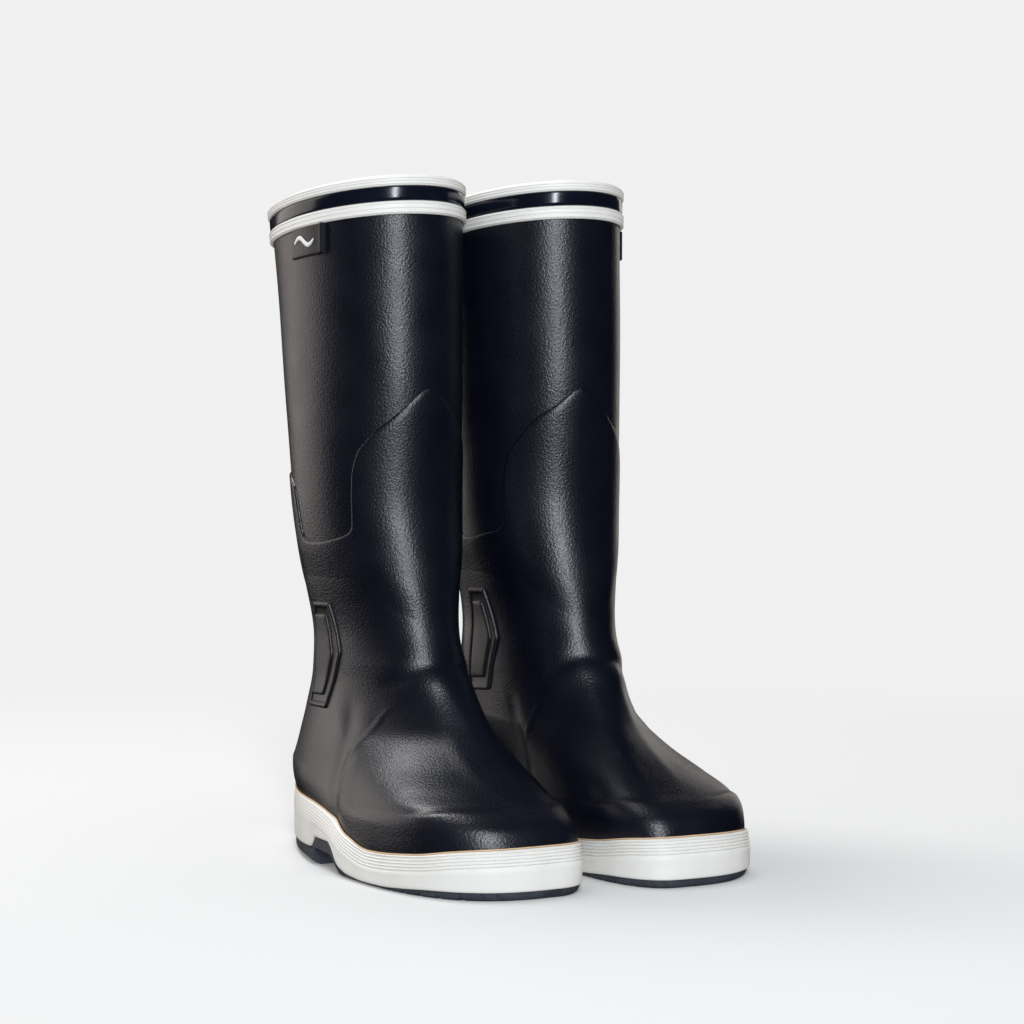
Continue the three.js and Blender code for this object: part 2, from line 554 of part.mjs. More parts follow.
const PLATE_POINT = ANKLE_HEIGHT - 8;   // level of the plate's forward point
const PLATE_UP = 30;           // from the point to the upper edge
const PLATE_DOWN = 34;
const PLATE_REAR = 62;         // rear edge ahead of the heel, at the point's level
const PLATE_REACH = 40;        // rear edge to the forward point
const PLATE_EDGE = 25;         // rear edge to the upper and lower corners
const PAD_INSET = 5;
const REAR_LEAN = 0.18;        // the rear edge leans back towards the floor

function plateRows(inset) {
  const rear = (z) => PLATE_REAR + REAR_LEAN * (z - PLATE_POINT) + inset;
  const edge = PLATE_EDGE - 0.4 * inset;
  const up = PLATE_UP - inset;
  const down = PLATE_DOWN - inset;
  const shares = [-1, -0.5, 0, 0.5, 1];
  return shares.map((s) => {
    const z = PLATE_POINT + (s < 0 ? s * down : s * up);
    const front = mix(PLATE_REACH - 1.6 * inset, edge, Math.abs(s));
    return [z, rear(z), rear(z) - inset + front];
  });
}

const makePlate = (side) => sidePlate(plateRows(0), side, PLATE_GAP, PLATE_GAP + PLATE_PROUD, 5);
const makePad = (side) => sidePlate(plateRows(PAD_INSET), side, PLATE_GAP + PLATE_PROUD + GAP,
  PLATE_GAP + PLATE_PROUD + GAP + PAD_PROUD, 4);

const LABEL_REAR = 68;

function makeLabel() {
  const levels = [0, 0.5, 1].map((t) => LABEL_TOP - LABEL_HEIGHT * (1 - t));
  const rows = levels.map((z) => [z, LABEL_REAR, LABEL_REAR + LABEL_WIDTH]);
  return sidePlate(rows, 1, SKIN_GAP, SKIN_GAP + LABEL_PROUD, 5);
}

// One plain raised wave on the label.
const MARK_HEIGHT = 3;
const MARK_SWING = 2.4;
const MARK_INSET = 5;
const MARK_COLUMNS = 9;

function makeMark() {
  const low = SKIN_GAP + LABEL_PROUD + GAP;
  const face = (proud) => [-0.5, 0.5].map((edge) => Array.from({ length: MARK_COLUMNS }, (_, c) => {
    const t = c / (MARK_COLUMNS - 1);
    const z = LABEL_TOP - LABEL_HEIGHT / 2 + edge * MARK_HEIGHT + MARK_SWING * Math.sin(2 * Math.PI * t);
    const ahead = mix(LABEL_REAR + MARK_INSET, LABEL_REAR + LABEL_WIDTH - MARK_INSET, t);
    return onSkin(z, angleAt(skinCut(z), ahead, 1), proud);
  }));
  return sheet(face(low + MARK_PROUD), face(low));
}

const LINE_TOP = LINE_HEIGHT + 2 * GAP;
const CAP_BEND = 41;           // level at which the toe turns in towards the instep
const toeCapTopAt = curve([[0.56 * FOOT_LENGTH, CAP_BEND + 2], [0.8 * FOOT_LENGTH, CAP_BEND + 5],
  [FOOT_LENGTH, CAP_BEND + 9]]);

function makeToeCap() {
  const low = (u) => foxingTopAt(u) + LINE_TOP + GAP;
  const levels = [low, (u) => Math.max(CAP_BEND - 6, low(u) + 1), (u) => mix(CAP_BEND, low(u), 0.1),
    (u) => mix(CAP_BEND, toeCapTopAt(u), 0.5), toeCapTopAt];
  const face = (proud) => levels.map((level) => {
    const row = ring(level, proud);
    return toeIndices.slice(1, -1).map((i) => row[i]);
  });
  return sheet(face(SKIN_GAP + CAP_PROUD), face(SKIN_GAP));
}

function makeHeelCounter() {
  const low = (u) => foxingTopAt(u) + LINE_TOP + GAP;
  const levels = [low, scaledLevel(46), scaledLevel(51), COUNTER_TOP];
  const face = (proud) => levels.map((level) => {
    const row = ring(level, proud);
    return heelIndices.slice(3, -3).map((i) => row[i]);
  });
  return sheet(face(COUNTER_GAP + CAP_PROUD), face(COUNTER_GAP));
}

// ---------------------------------------------------------------- sole
function makeFoxing() {
  const low = (u) => outsoleTopAt(u) + GAP;
  const high = (u) => foxingTopAt(u) - 1.5;
  const outside = [soleRing(low, 0.8), soleRing((u) => mix(low(u), high(u), 0.4), 0), soleRing(high, 0.6)];
  const inside = [ring(foxingTopAt, FOXING_GAP), ring((u) => floorAt(u) + 1, FOXING_GAP)];
  const rings = [...outside, ...inside, lowered(inside[1], low)];
  return band(angles.map((_, i) => rings.map((row) => row[i])));
}

function makeLine() {
  const low = (u) => foxingTopAt(u) + GAP;
  const high = (u) => low(u) + LINE_HEIGHT;
  const rings = [ring(low, BAND_GAP), ring(low, LINE_PROUD), ring(high, LINE_PROUD - 0.4),
    ring(high, BAND_GAP)];
  return band(angles.map((_, i) => rings.map((row) => row[i])));
}

// Boxes that run right across the sole, from the floor up.
function cleatChannels() {
  const row = (from, to, pitch) => {
    const length = Math.ceil((to - from) / pitch);
    return Array.from({ length }, (_, i) => from + i * pitch);
  };
  const forepart = row(ramp[1] + CLEAT_PITCH / 2, FOOT_LENGTH - CLEAT_PITCH, CLEAT_PITCH);
  const heel = row(HEEL_PITCH, breast[0] - CLEAT_PITCH / 2, HEEL_PITCH);
  return [...forepart, ...heel].map((u) => new THREE.BoxGeometry(3 * BALL_OUTER, CLEAT_WIDTH, 2 * CLEAT_DEPTH)
    .translate(0, FOOT_LENGTH / 2 - u, 0));
}

function makeOutsole() {
  const edge = (u) => outsoleBottomAt(u) + BEVEL_HEIGHT;
  const blank = stack([soleRing(outsoleBottomAt, bevelAt), soleRing(edge, 1), soleRing(outsoleTopAt, 0.8)]);
  return cut(blank, cleatChannels());
}

function makeHeelBlock() {
  const size = 2 * HEEL_COUNT + 1;
  const indices = Array.from({ length: size }, (_, i) => (i <= HEEL_COUNT ? i : count - size + i));
  const face = (z) => lowered(ring(() => HEEL_FLOOR, -GAP), () => z);
  const rows = [face(HEEL_THICKNESS + GAP), face(ARCH_TOP)];
  return stack(rows.map((row) => indices.map((i) => row[i])));
}

const SHANK_REAR = 62;
const shankMiddle = SHANK_REAR + SHANK_LENGTH / 2;

function shankBlank(grow, thickness) {
  const r = SHANK_WIDTH / 2 + grow;
  const straight = SHANK_LENGTH / 2 - SHANK_WIDTH / 2;
  const outline = new THREE.Shape();
  outline.absarc(0, straight, r, 0, Math.PI);
  outline.absarc(0, -straight, r, Math.PI, 2 * Math.PI);
  outline.closePath();
  return new THREE.ExtrudeGeometry(outline, { depth: thickness, bevelEnabled: false, curveSegments: 6 });
}

const SHANK_ASIDE = 2;
const shankTop = HEEL_FLOOR - GAP;

function makeShank() {
  return shankBlank(0, SHANK_THICKNESS)
    .translate(SHANK_ASIDE, FOOT_LENGTH / 2 - shankMiddle, shankTop - SHANK_THICKNESS);
}

function makeMidsole() {
  const low = lowered(ring((u) => floorAt(u) + 1, -GAP), midsoleBottomAt);
  const blank = stack([low, floorRing(-GAP, -GAP)]);
  const recess = shankBlank(GAP, 2 * SHANK_THICKNESS)
    .translate(SHANK_ASIDE, FOOT_LENGTH / 2 - shankMiddle, shankTop - SHANK_THICKNESS - GAP);
  return cut(blank, [recess]);
}

const insideDepth = RUBBER + STIFFENER + 2 * GAP + LINING;
const boardLevel = RUBBER + GAP + LINING + GAP;
const footbedLevel = boardLevel + BOARD + GAP;

// A flat layer on the floor inside the lining, with some room round its edge.
const slab = (level, thickness, room) => stack([floorRing(level, -insideDepth - room),
  floorRing(level + thickness, -insideDepth - room)]);
const makeBoard = () => slab(boardLevel, BOARD, BOARD_ROOM);
const makeFootbed = () => slab(footbedLevel, FOOTBED, FOOTBED_ROOM);

// ---------------------------------------------------------------- materials
function material(color, roughness, metalness = 0) {
  return new THREE.MeshStandardMaterial({ color, roughness, metalness });
}

const navyRubber = material(0x10131f, 0.42);
const glossRubber = material(0x0b0e18, 0.2);
const whiteRubber = material(0xe9e8e2, 0.5);
const greyRubber = material(0x4c5059, 0.7);
const tanRubber = material(0xc9a06a, 0.6);
const darkRubber = material(0x191b22, 0.55);
const knitLining = material(0x8c8f94, 0.95);
const fibreBoard = material(0xa78f68, 0.9);
const foam = material(0x3b3f47, 0.9);
const spongeRubber = material(0x6b6d70, 0.9);
const steel = material(0x8a8d90, 0.35, 1);
const footbedFoam = material(0x24344f, 0.9);

// ---------------------------------------------------------------- a boot
const pieces = [
  ['foot', makeFoot(), navyRubber],
  ['leg', makeLeg(), navyRubber],
  ['lining', makeLining(), knitLining],
  ['toe_stiffener', makeStiffener(toeIndices), fibreBoard],
  ['heel_stiffener', makeStiffener(heelIndices), fibreBoard],
  ['top_binding', makeBinding(), whiteRubber],
  ['collar_band', makeBand(COLLAR_TOP, COLLAR_HEIGHT, COLLAR_PROUD + BAND_GAP, BAND_GAP), glossRubber],
  ['lower_band', makeBand(LOWER_BAND_TOP, LOWER_BAND_HEIGHT, BAND_PROUD + BAND_GAP, BAND_GAP), whiteRubber],
  ['label_tab', makeLabel(), darkRubber],
  ['label_mark', makeMark(), whiteRubber],
  ['leg_guard', makeGuard(), navyRubber],
  ['outer_ankle_plate', makePlate(1), darkRubber],
  ['outer_ankle_pad', makePad(1), navyRubber],
  ['inner_ankle_plate', makePlate(-1), darkRubber],
  ['inner_ankle_pad', makePad(-1), navyRubber],
  ['toe_cap', makeToeCap(), navyRubber],
  ['heel_counter', makeHeelCounter(), navyRubber],
  ['foxing', makeFoxing(), whiteRubber],
  ['foxing_line', makeLine(), tanRubber],
  ['outsole', makeOutsole(), greyRubber],
  ['heel_block', makeHeelBlock(), spongeRubber],
  ['midsole', makeMidsole(), foam],
  ['shank', makeShank(), steel],
  ['insole_board', makeBoard(), fibreBoard],
  ['footbed', makeFootbed(), footbedFoam],
];

// A mirrored copy keeps its faces pointing out.
function mirrored(geometry) {
  const copy = geometry.clone().scale(-1, 1, 1);
  if (!copy.index) copy.setIndex([...Array(copy.attributes.position.count).keys()]);
  const index = Array.from(copy.index.array);
  for (let i = 0; i < index.length; i += 3) {
    [index[i + 1], index[i + 2]] = [index[i + 2], index[i + 1]];
  }
  copy.setIndex(index);
  return copy;
}

// The foot's outer side is at -X on the right boot and at +X on the left.
function makeBoot(prefix, isRight) {
  const boot = new THREE.Group();
  for (const [name, geometry, finish] of pieces) {
    const mesh = new THREE.Mesh(isRight ? mirrored(geometry) : geometry, finish);
    mesh.name = `${prefix}_${name}`;
    boot.add(mesh);
  }
  return boot;
}

const pair = new THREE.Group();
pair.add(makeBoot('right', true));
const left = makeBoot('left', false);
left.position.set(Math.max(TOP_WIDTH, 2 * BALL_INNER) + LEG_CLEARANCE, -LEFT_AHEAD, 0);
left.rotation.z = THREE.MathUtils.degToRad(LEFT_TURN);
pair.add(left);
pair.updateMatrixWorld(true);
const box = new THREE.Box3().setFromObject(pair, true);
pair.position.set(-(box.min.x + box.max.x) / 2, -(box.min.y + box.max.y) / 2, -box.min.z);

export default pair;
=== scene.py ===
# %% [markdown]
# # Deck boots in Blender
# A pair of tall rubber deck boots: a pebbled navy upper with a moulded leg guard and ankle plates, two
# white bands round the top with a glossy strip between them, and a ribbed pale sole wall on a grey
# outsole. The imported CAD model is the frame. Every piece below is laid on the same skin as that model, so
# nothing has to be fitted by eye. Sizes are millimetres in "boot space" until a mesh is made, and metres
# after that.

# %% Load the frame
import math
import bmesh
import bpy
import numpy as np
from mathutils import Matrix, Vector


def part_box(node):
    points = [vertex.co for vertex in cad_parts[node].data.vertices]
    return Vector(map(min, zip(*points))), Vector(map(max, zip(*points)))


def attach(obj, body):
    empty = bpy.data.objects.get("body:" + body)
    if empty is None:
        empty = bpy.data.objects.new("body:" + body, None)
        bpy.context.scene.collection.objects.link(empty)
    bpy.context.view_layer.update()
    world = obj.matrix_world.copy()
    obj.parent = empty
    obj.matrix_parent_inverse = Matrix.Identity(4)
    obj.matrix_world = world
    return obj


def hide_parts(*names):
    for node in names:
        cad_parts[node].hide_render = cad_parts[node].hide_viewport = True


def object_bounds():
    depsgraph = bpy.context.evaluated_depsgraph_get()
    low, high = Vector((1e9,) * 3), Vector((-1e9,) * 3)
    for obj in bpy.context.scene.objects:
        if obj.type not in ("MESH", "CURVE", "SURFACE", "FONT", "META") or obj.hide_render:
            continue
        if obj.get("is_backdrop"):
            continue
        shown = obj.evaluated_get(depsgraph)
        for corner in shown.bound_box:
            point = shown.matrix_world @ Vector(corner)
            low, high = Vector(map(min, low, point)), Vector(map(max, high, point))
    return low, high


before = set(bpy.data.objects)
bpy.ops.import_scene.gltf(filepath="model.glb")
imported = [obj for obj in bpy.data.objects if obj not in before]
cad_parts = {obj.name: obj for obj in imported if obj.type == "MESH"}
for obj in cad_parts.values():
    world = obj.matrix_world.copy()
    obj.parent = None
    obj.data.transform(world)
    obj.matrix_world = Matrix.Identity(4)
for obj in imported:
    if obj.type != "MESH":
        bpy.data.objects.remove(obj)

cad_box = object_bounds()
scene = bpy.context.scene
print("CAD nodes:", len(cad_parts))

# %% [markdown]
# ## Where each boot stands
# Each boot has its own space: `aside` towards the outer side of the foot, `back` towards the heel, and up.
# The steel shank in the sole is a plain bar, so the middle of its box tells where that space lies in the
# frame. The right boot is the left one mirrored, and the left one is turned a little, as a pair is set
# down by hand.

# %% Boot space
MM = 0.001
SIDES = ("right", "left")
SHANK_AT = (2.0, 40.5)      # aside and back of the shank's middle
TURN = {"right": 0.0, "left": math.radians(-4.5)}
MIRROR = {"right": -1.0, "left": 1.0}


def boot_origin(side):
    low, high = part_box(f"{side}_shank")
    middle = (low + high) / 2
    aside, back = SHANK_AT[0] * MIRROR[side] * MM, SHANK_AT[1] * MM
    c, s = math.cos(TURN[side]), math.sin(TURN[side])
    return middle.x - (aside * c - back * s), middle.y - (aside * s + back * c)


ORIGIN = {side: boot_origin(side) for side in SIDES}


def in_frame(points, side):
    """Boot space in millimetres to the row frame in metres."""
    p = np.asarray(points, float) * MM
    x, y = p[..., 0] * MIRROR[side], p[..., 1]
    c, s = math.cos(TURN[side]), math.sin(TURN[side])
    return np.stack([x * c - y * s + ORIGIN[side][0], x * s + y * c + ORIGIN[side][1], p[..., 2]], -1)


for side in SIDES:
    print(side, "boot stands at", [round(v, 4) for v in ORIGIN[side]])

# %% [markdown]
# ## Camera
# A long lens, low and a little to the left, so that one boot shows its outer side and the other its inner
# side.

# %% Camera
LENS, SENSOR = 96.72, 36.0
CAMERA_OFFSET = Vector((-0.8008, -1.4535, 0.27875))     # from the right boot's own origin
AZIMUTH, PITCH = math.radians(-30.7), math.radians(2.24)

lens = bpy.data.cameras.new("studio camera")
lens.lens, lens.sensor_width = LENS, SENSOR
lens.clip_start, lens.clip_end = 0.05, 60
camera = bpy.data.objects.new("studio camera", lens)
scene.collection.objects.link(camera)
scene.camera = camera
camera.location = Vector((*ORIGIN["right"], 0)) + CAMERA_OFFSET
camera.rotation_euler = (math.pi / 2 - PITCH, 0, AZIMUTH)
bpy.context.view_layer.update()
print("camera at", [round(v, 3) for v in camera.location])

# %% [markdown]
# ## The shape of the boot
# A rubber boot is pressed or dipped over a last, so its outside is one smooth skin. Here a rule gives that
# skin: each level is four quarter superellipses, and smooth curves give their size from floor to topline.
# A rule is better than sculpting, because every band, plate and layer can then be asked to lie exactly on
# it.

# %% Sizes of the last
FOOT_LENGTH, BALL_OUTER, BALL_INNER = 279.0, 66.0, 47.0
TOE_SWING, WAIST_DEPTH, HEEL_BLUNT, HEEL_SPREAD, SOLE_SETIN = 9.0, 5.0, 0.4, 0.32, 2.0
BOOT_HEIGHT, TOPLINE_RISE, RISE_START = 408.0, 20.0, 232.0
TOP_DEPTH, TOP_WIDTH, TOP_OVERHANG = 160.0, 105.0, 23.0
ANKLE_HEIGHT, ANKLE_DEPTH, ANKLE_WIDTH, ANKLE_SETIN, LEG_SHIFT = 135.0, 126.0, 77.0, 26.0, 3.0
SHIN = ANKLE_SETIN + ANKLE_DEPTH
ANKLE_MIDDLE = ANKLE_SETIN + 0.44 * ANKLE_DEPTH
TOP_MIDDLE = TOP_DEPTH * 0.55 - TOP_OVERHANG
TOP_FRONT = TOP_DEPTH - TOP_OVERHANG
WIDEST_OUTER, WIDEST_INNER = 0.587 * FOOT_LENGTH, 0.65 * FOOT_LENGTH


def mix(a, b, t):
    return a + (b - a) * t


def ease(x, low, high):
    """0 below low, 1 above high, smooth between; it falls if low is the greater."""
    t = np.clip((np.asarray(x, float) - low) / (high - low), 0, 1)
    return t * t * (3 - 2 * t)


def ridge(x, width):
    return np.exp(-(np.asarray(x, float) / width) ** 2)


def curve(points):
    """A smooth rule through the points that never overshoots them, flat beyond both ends."""
    x, y = np.array(points, float).T
    slope = np.diff(y) / np.diff(x)
    bend = slope[:-1] * slope[1:]
    total = np.where(slope[:-1] + slope[1:] == 0, 1, slope[:-1] + slope[1:])
    m = np.r_[slope[0], np.where(bend > 0, 2 * bend / total, 0), slope[-1]]

    def at(v):
        v = np.clip(np.asarray(v, float), x[0], x[-1])
        i = np.clip(np.searchsorted(x, v, side="right") - 1, 0, len(x) - 2)
        h = x[i + 1] - x[i]
        t = (v - x[i]) / h
        return (y[i] * (1 + 2 * t) * (1 - t) ** 2 + m[i] * h * t * (1 - t) ** 2
                + y[i + 1] * t * t * (3 - 2 * t) - m[i + 1] * h * t * t * (1 - t))
    return at


print("the smooth rule halfway from 0 to 2 gives", float(curve([(0, 0), (1, 2)])(0.5)))

# %% Size of the skin at each height
# Foot tables hold shares of the way from the ankle's size to the sole's, and leg tables shares of the way
# from the ankle's size to the topline's. The first number of each pair is a share of the height.
FOOT_BACK = [(0.09, 0.2), (0.2, 0.2), (0.27, 0.15), (0.33, 0.05), (0.41, 0.06), (0.48, 0.13), (0.56, 0.22),
             (0.65, 0.38), (0.83, 0.78), (1, 1)]
FOOT_REACH = [(0.09, 0.92), (0.19, 0.955), (0.27, 0.935), (0.345, 0.82), (0.41, 0.68), (0.48, 0.54),
              (0.555, 0.41), (0.65, 0.28), (0.83, 0.115), (1, 0)]
FOOT_SPREAD = [(0.09, 0.95), (0.19, 1), (0.27, 1), (0.345, 0.92), (0.41, 0.74), (0.48, 0.53), (0.555, 0.34),
               (0.65, 0.14), (0.83, 0), (1, 0)]
FOOT_SLIDE = [(0.27, 1), (0.345, 0.95), (0.41, 0.83), (0.48, 0.66), (0.555, 0.49), (0.65, 0.27), (0.83, 0.07),
              (1, 0)]
LEG_BACK = [(0.15, 0.1), (0.33, 0.22), (0.59, 0.46), (1, 1)]
LEG_FRONT = [(0.15, 0.57), (0.33, 1.05), (0.59, 0.85), (1, 1)]
LEG_SPREAD = [(0.15, 0.42), (0.33, 0.78), (0.59, 0.92), (1, 1)]
LEG_SLIDE = [(0.15, 0.35), (0.33, 0.59), (0.59, 0.88), (1, 1)]


def foot_level(share):
    return share * ANKLE_HEIGHT


def leg_level(share):
    return mix(ANKLE_HEIGHT, BOOT_HEIGHT, share)


def profile(foot, at_no_share, at_full_share, leg, at_top, at_ankle):
    return curve([(foot_level(s), mix(at_no_share, at_full_share, v)) for s, v in foot]
                 + [(leg_level(s), mix(at_ankle, at_top, v)) for s, v in leg])


half = ANKLE_WIDTH / 2
skin_back = profile(FOOT_BACK, 0, ANKLE_SETIN, LEG_BACK, -TOP_OVERHANG, ANKLE_SETIN)
skin_front = profile(FOOT_REACH, SHIN, FOOT_LENGTH, LEG_FRONT, TOP_FRONT, SHIN)
skin_outer = profile(FOOT_SPREAD, half, BALL_OUTER - 4, LEG_SPREAD, TOP_WIDTH / 2, half)
skin_inner = profile(FOOT_SPREAD, half, BALL_INNER - 3, LEG_SPREAD, TOP_WIDTH / 2, half)
outer_at = profile(FOOT_SLIDE, ANKLE_MIDDLE, WIDEST_OUTER, LEG_SLIDE, TOP_MIDDLE, ANKLE_MIDDLE)
inner_at = profile(FOOT_SLIDE, ANKLE_MIDDLE, WIDEST_INNER, LEG_SLIDE, TOP_MIDDLE, ANKLE_MIDDLE)

# The power of each quarter superellipse: 2 is a plain ellipse, more is squarer, and less is pointed.
SOLE_REAR, REAR, ANKLE_REAR, TOE = 1.76, 2.05, 3.3, 2.7


def powers(foot, leg=()):
    return curve([(foot_level(s), v) for s, v in foot] + [(leg_level(s), v) for s, v in leg])


outer_front = powers([(0.27, TOE), (0.345, 2.9), (0.41, 2.4), (0.5, 1.8), (0.6, 1.55), (0.72, 1.65),
                      (0.9, 2)])
inner_front = powers([(0.27, TOE), (0.41, 2.5), (0.555, 2.1), (0.65, 2)])
outer_rear = powers([(0.28, SOLE_REAR), (0.42, REAR)])
inner_rear = powers([(0.28, SOLE_REAR), (0.42, REAR), (0.75, ANKLE_REAR)], [(0.12, ANKLE_REAR), (0.33, REAR)])
for z in (40, 135, 400):
    deep, wide = float(skin_front(z) - skin_back(z)), float(skin_outer(z) + skin_inner(z))
    print(f"level {z}: {deep:.0f} deep, {wide:.0f} wide")

# %% Points on the skin
SOLE_LEVEL = 20.0       # the sole's outline is taken at this height


def fading(z, top, span):
    return np.clip((foot_level(top) - z) / foot_level(span), 0, 1)


def cut_sizes(z, sole):
    """The sizes of one level cut; the sole's own outline is the same at every height."""
    if sole:
        full = np.ones_like(z)
        sizes = (SOLE_SETIN, FOOT_LENGTH, BALL_OUTER, BALL_INNER, WIDEST_OUTER, WIDEST_INNER, TOE_SWING,
                 WAIST_DEPTH, HEEL_BLUNT, 0)
        return [size * full for size in sizes]
    shift = LEG_SHIFT * np.clip((z - foot_level(0.42)) / foot_level(0.42), 0, 1)
    return [skin_back(z), skin_front(z), skin_outer(z), skin_inner(z), outer_at(z), inner_at(z),
            TOE_SWING * fading(z, 0.83, 0.41), WAIST_DEPTH * fading(z, 0.6, 0.3),
            HEEL_BLUNT * fading(z, 0.8, 0.35), shift]


def quarter_power(z, outside, in_front, sole):
    if sole:
        return np.where(in_front, TOE, SOLE_REAR)
    return np.where(in_front, np.where(outside, outer_front(z), inner_front(z)),
                    np.where(outside, outer_rear(z), inner_rear(z)))


def level_cut(z, angle, sole=False):
    """aside and ahead of a point; the angle runs from the outer side over the toe to the inner side."""
    z, angle = np.broadcast_arrays(np.asarray(z, float), np.asarray(angle, float))
    back, front, outer, inner, out_at, in_at, swing, waist, blunt, shift = cut_sizes(z, sole)
    c, s = np.cos(angle), np.sin(angle)
    power = 2 / quarter_power(z, c > 0, s > 0, sole)
    widest = np.where(c > 0, out_at, in_at)
    ahead = mix(widest, np.where(s > 0, front, back), np.abs(s) ** power)
    aside = mix(np.where(s > 0, -swing, 0), np.where(c > 0, outer, -inner), np.abs(c) ** power)
    hollow = np.where(c > 0, 0, waist * ridge(ahead - 0.37 * FOOT_LENGTH, 0.13 * FOOT_LENGTH))
    from_heel = (angle + 1.5 * math.pi) % (2 * math.pi) - math.pi
    return (aside + hollow) * (1 + blunt * ridge(from_heel, HEEL_SPREAD)) - shift, ahead


def angle_at(z, ahead, outside, sole=False):
    """Angle at which a level reaches a distance ahead, on the outer or the inner side."""
    z, ahead = np.broadcast_arrays(np.asarray(z, float), np.asarray(ahead, float))
    back, front, _, _, out_at, in_at, *_ = cut_sizes(z, sole)
    widest = out_at if outside else in_at
    in_front = ahead > widest
    reach = np.clip((ahead - widest) / (np.where(in_front, front, back) - widest), 0, 1)
    angle = np.arcsin(reach ** (quarter_power(z, outside, in_front, sole) / 2)) * np.where(in_front, 1, -1)
    return angle if outside else math.pi - angle


def bare_point(z, angle):
    aside, ahead = level_cut(z, angle)
    share = np.clip((z - RISE_START) / (BOOT_HEIGHT - RISE_START), 0, 1)
    height = z + TOPLINE_RISE * share * (ahead - TOP_MIDDLE) / TOP_DEPTH
    return np.stack(np.broadcast_arrays(aside, FOOT_LENGTH / 2 - ahead, height), -1)


def skin_normal(z, angle):
    up = bare_point(z + 0.5, angle) - bare_point(z - 0.5, angle)
    along = bare_point(z, angle + 0.02) - bare_point(z, angle - 0.02)
    n = -np.cross(along, up)
    return n / np.linalg.norm(n, axis=-1, keepdims=True)


print("tip of the toe at level 40:", bare_point(40.0, math.pi / 2).round(1))

# %% [markdown]
# ## Moulded relief
# The mould leaves soft forms on the skin: a raised toe cap and heel counter, a valley on each side where
# the forefoot meets the heel, a crease above the instep and two faint ridges down it. They are heights
# added along the skin's normal, as a displacement would, but from rules, so that they stay sharp where the
# mould is sharp.

# %% Relief of the rubber, in millimetres
toe_ledge = curve([(160, 40.5), (168, 41), (220, 44), (245, 48), (254, 48), (279, 48)])
valley_line = curve([(28, 142), (40, 139), (70, 126), (92, 115), (115, 108)])
vamp_line = curve([(44, 136), (60, 135), (91, 141), (104, 150)])
crease_line = curve([(35, 109), (48, 113), (74, 122), (104, 124), (135, 114)])


def relief(z, angle):
    aside, ahead = level_cut(z, angle)
    degrees = np.degrees(angle)
    cap = 1.8 * ease(z, toe_ledge(ahead) + 2.2, toe_ledge(ahead) - 2.8) * ease(ahead, 150, 190)
    counter = 0.6 * ease(z, 60, 54) * ease(ahead, 88, 62)
    valley = -1.2 * ridge(ahead - valley_line(z), 7) * ease(z, 108, 84)
    shoulder = 0.55 * ridge(ahead - valley_line(z) - 14, 9) * ease(z, 104, 80)
    vamp = 0.55 * ridge(ahead - vamp_line(z), 1.6) * ease(z, 101, 88) * ease(z, 45, 54)
    above = z - crease_line(degrees)
    front = ease(degrees, 30, 58) * ease(degrees, 148, 122)
    crease = (-0.9 * ridge(above, 4) + 0.6 * ridge(above - 10, 7) + 0.4 * ridge(above + 9, 6)) * front
    instep = 0.5 * (ridge(aside - 9, 5) + ridge(aside + 13, 5)) * ease(z, 118, 98) * ease(z, 52, 66)
    instep = instep * ease(degrees, 40, 60) * ease(degrees, 140, 120)
    waves = 0.22 * np.sin(z / 19 + 2.1 * np.sin(angle)) * np.cos(2 * angle + z / 47) * ease(z, 150, 190)
    fuller = 3.2 * ridge(z - 122, 36) * ease(degrees, 185, 205) * ease(degrees, 262, 240)
    return cap + counter + valley + shoulder + vamp + crease + instep + waves + fuller


def on_skin(z, angle, proud=0.0):
    """A point on the finished skin, raised by a height."""
    z, angle = np.broadcast_arrays(np.asarray(z, float), np.asarray(angle, float))
    return bare_point(z, angle) + skin_normal(z, angle) * (relief(z, angle) + proud)[..., None]


def evenly(count):
    """Angles round the boot, closer together where the sole turns sharply."""
    t = np.linspace(-math.pi / 2, 1.5 * math.pi, 2881)
    along = 0
    for sole, z in ((True, SOLE_LEVEL), (False, 250.0)):
        aside, ahead = level_cut(z, t, sole)
        along = along + np.r_[0, np.cumsum(np.hypot(np.diff(aside), np.diff(ahead)))]
    return np.interp(np.linspace(0, along[-1], count + 1)[:-1], along, t)


AROUND = evenly(312)
print("columns round the boot:", len(AROUND))

# %% [markdown]
# ## From points to a mesh
# Most pieces are rows of points that run round the boot. A grid of quads joins them, and a loop of rows
# that closes on itself gives a solid ring. Normals are recalculated once the ring is closed, so that they
# point out.

# %% Mesh helpers
def grid_faces(rows, columns, loop_rows=False, loop_columns=False, first=0):
    r = np.arange(rows if loop_rows else rows - 1)
    c = np.arange(columns if loop_columns else columns - 1)
    r, c = np.meshgrid(r, c, indexing="ij")
    r1, c1 = (r + 1) % rows, (c + 1) % columns
    quads = np.stack([r * columns + c, r * columns + c1, r1 * columns + c1, r1 * columns + c], -1)
    return (quads.reshape(-1, 4) + first).tolist()


def piece(name, side, points, faces, material, stands_for, finish, body=None, smooth=55):
    """A finished piece: mesh in the row frame, normals out, riding on its body in place of its CAD nodes."""
    placed = in_frame(np.asarray(points, float).reshape(-1, 3), side)
    mesh = bpy.data.meshes.new(f"{side}_{name}")
    mesh.from_pydata(placed.tolist(), [], faces)
    work = bmesh.new()
    work.from_mesh(mesh)
    bmesh.ops.remove_doubles(work, verts=work.verts, dist=1e-6)
    bmesh.ops.recalc_face_normals(work, faces=work.faces)
    work.to_mesh(mesh)
    work.free()
    made = bpy.data.objects.new(f"{side}_{name}_piece", mesh)
    scene.collection.objects.link(made)
    mesh.materials.append(material)
    mesh.shade_smooth()
    if smooth:
        mesh.set_sharp_from_angle(angle=math.radians(smooth))
    return settle(made, side, stands_for, body)


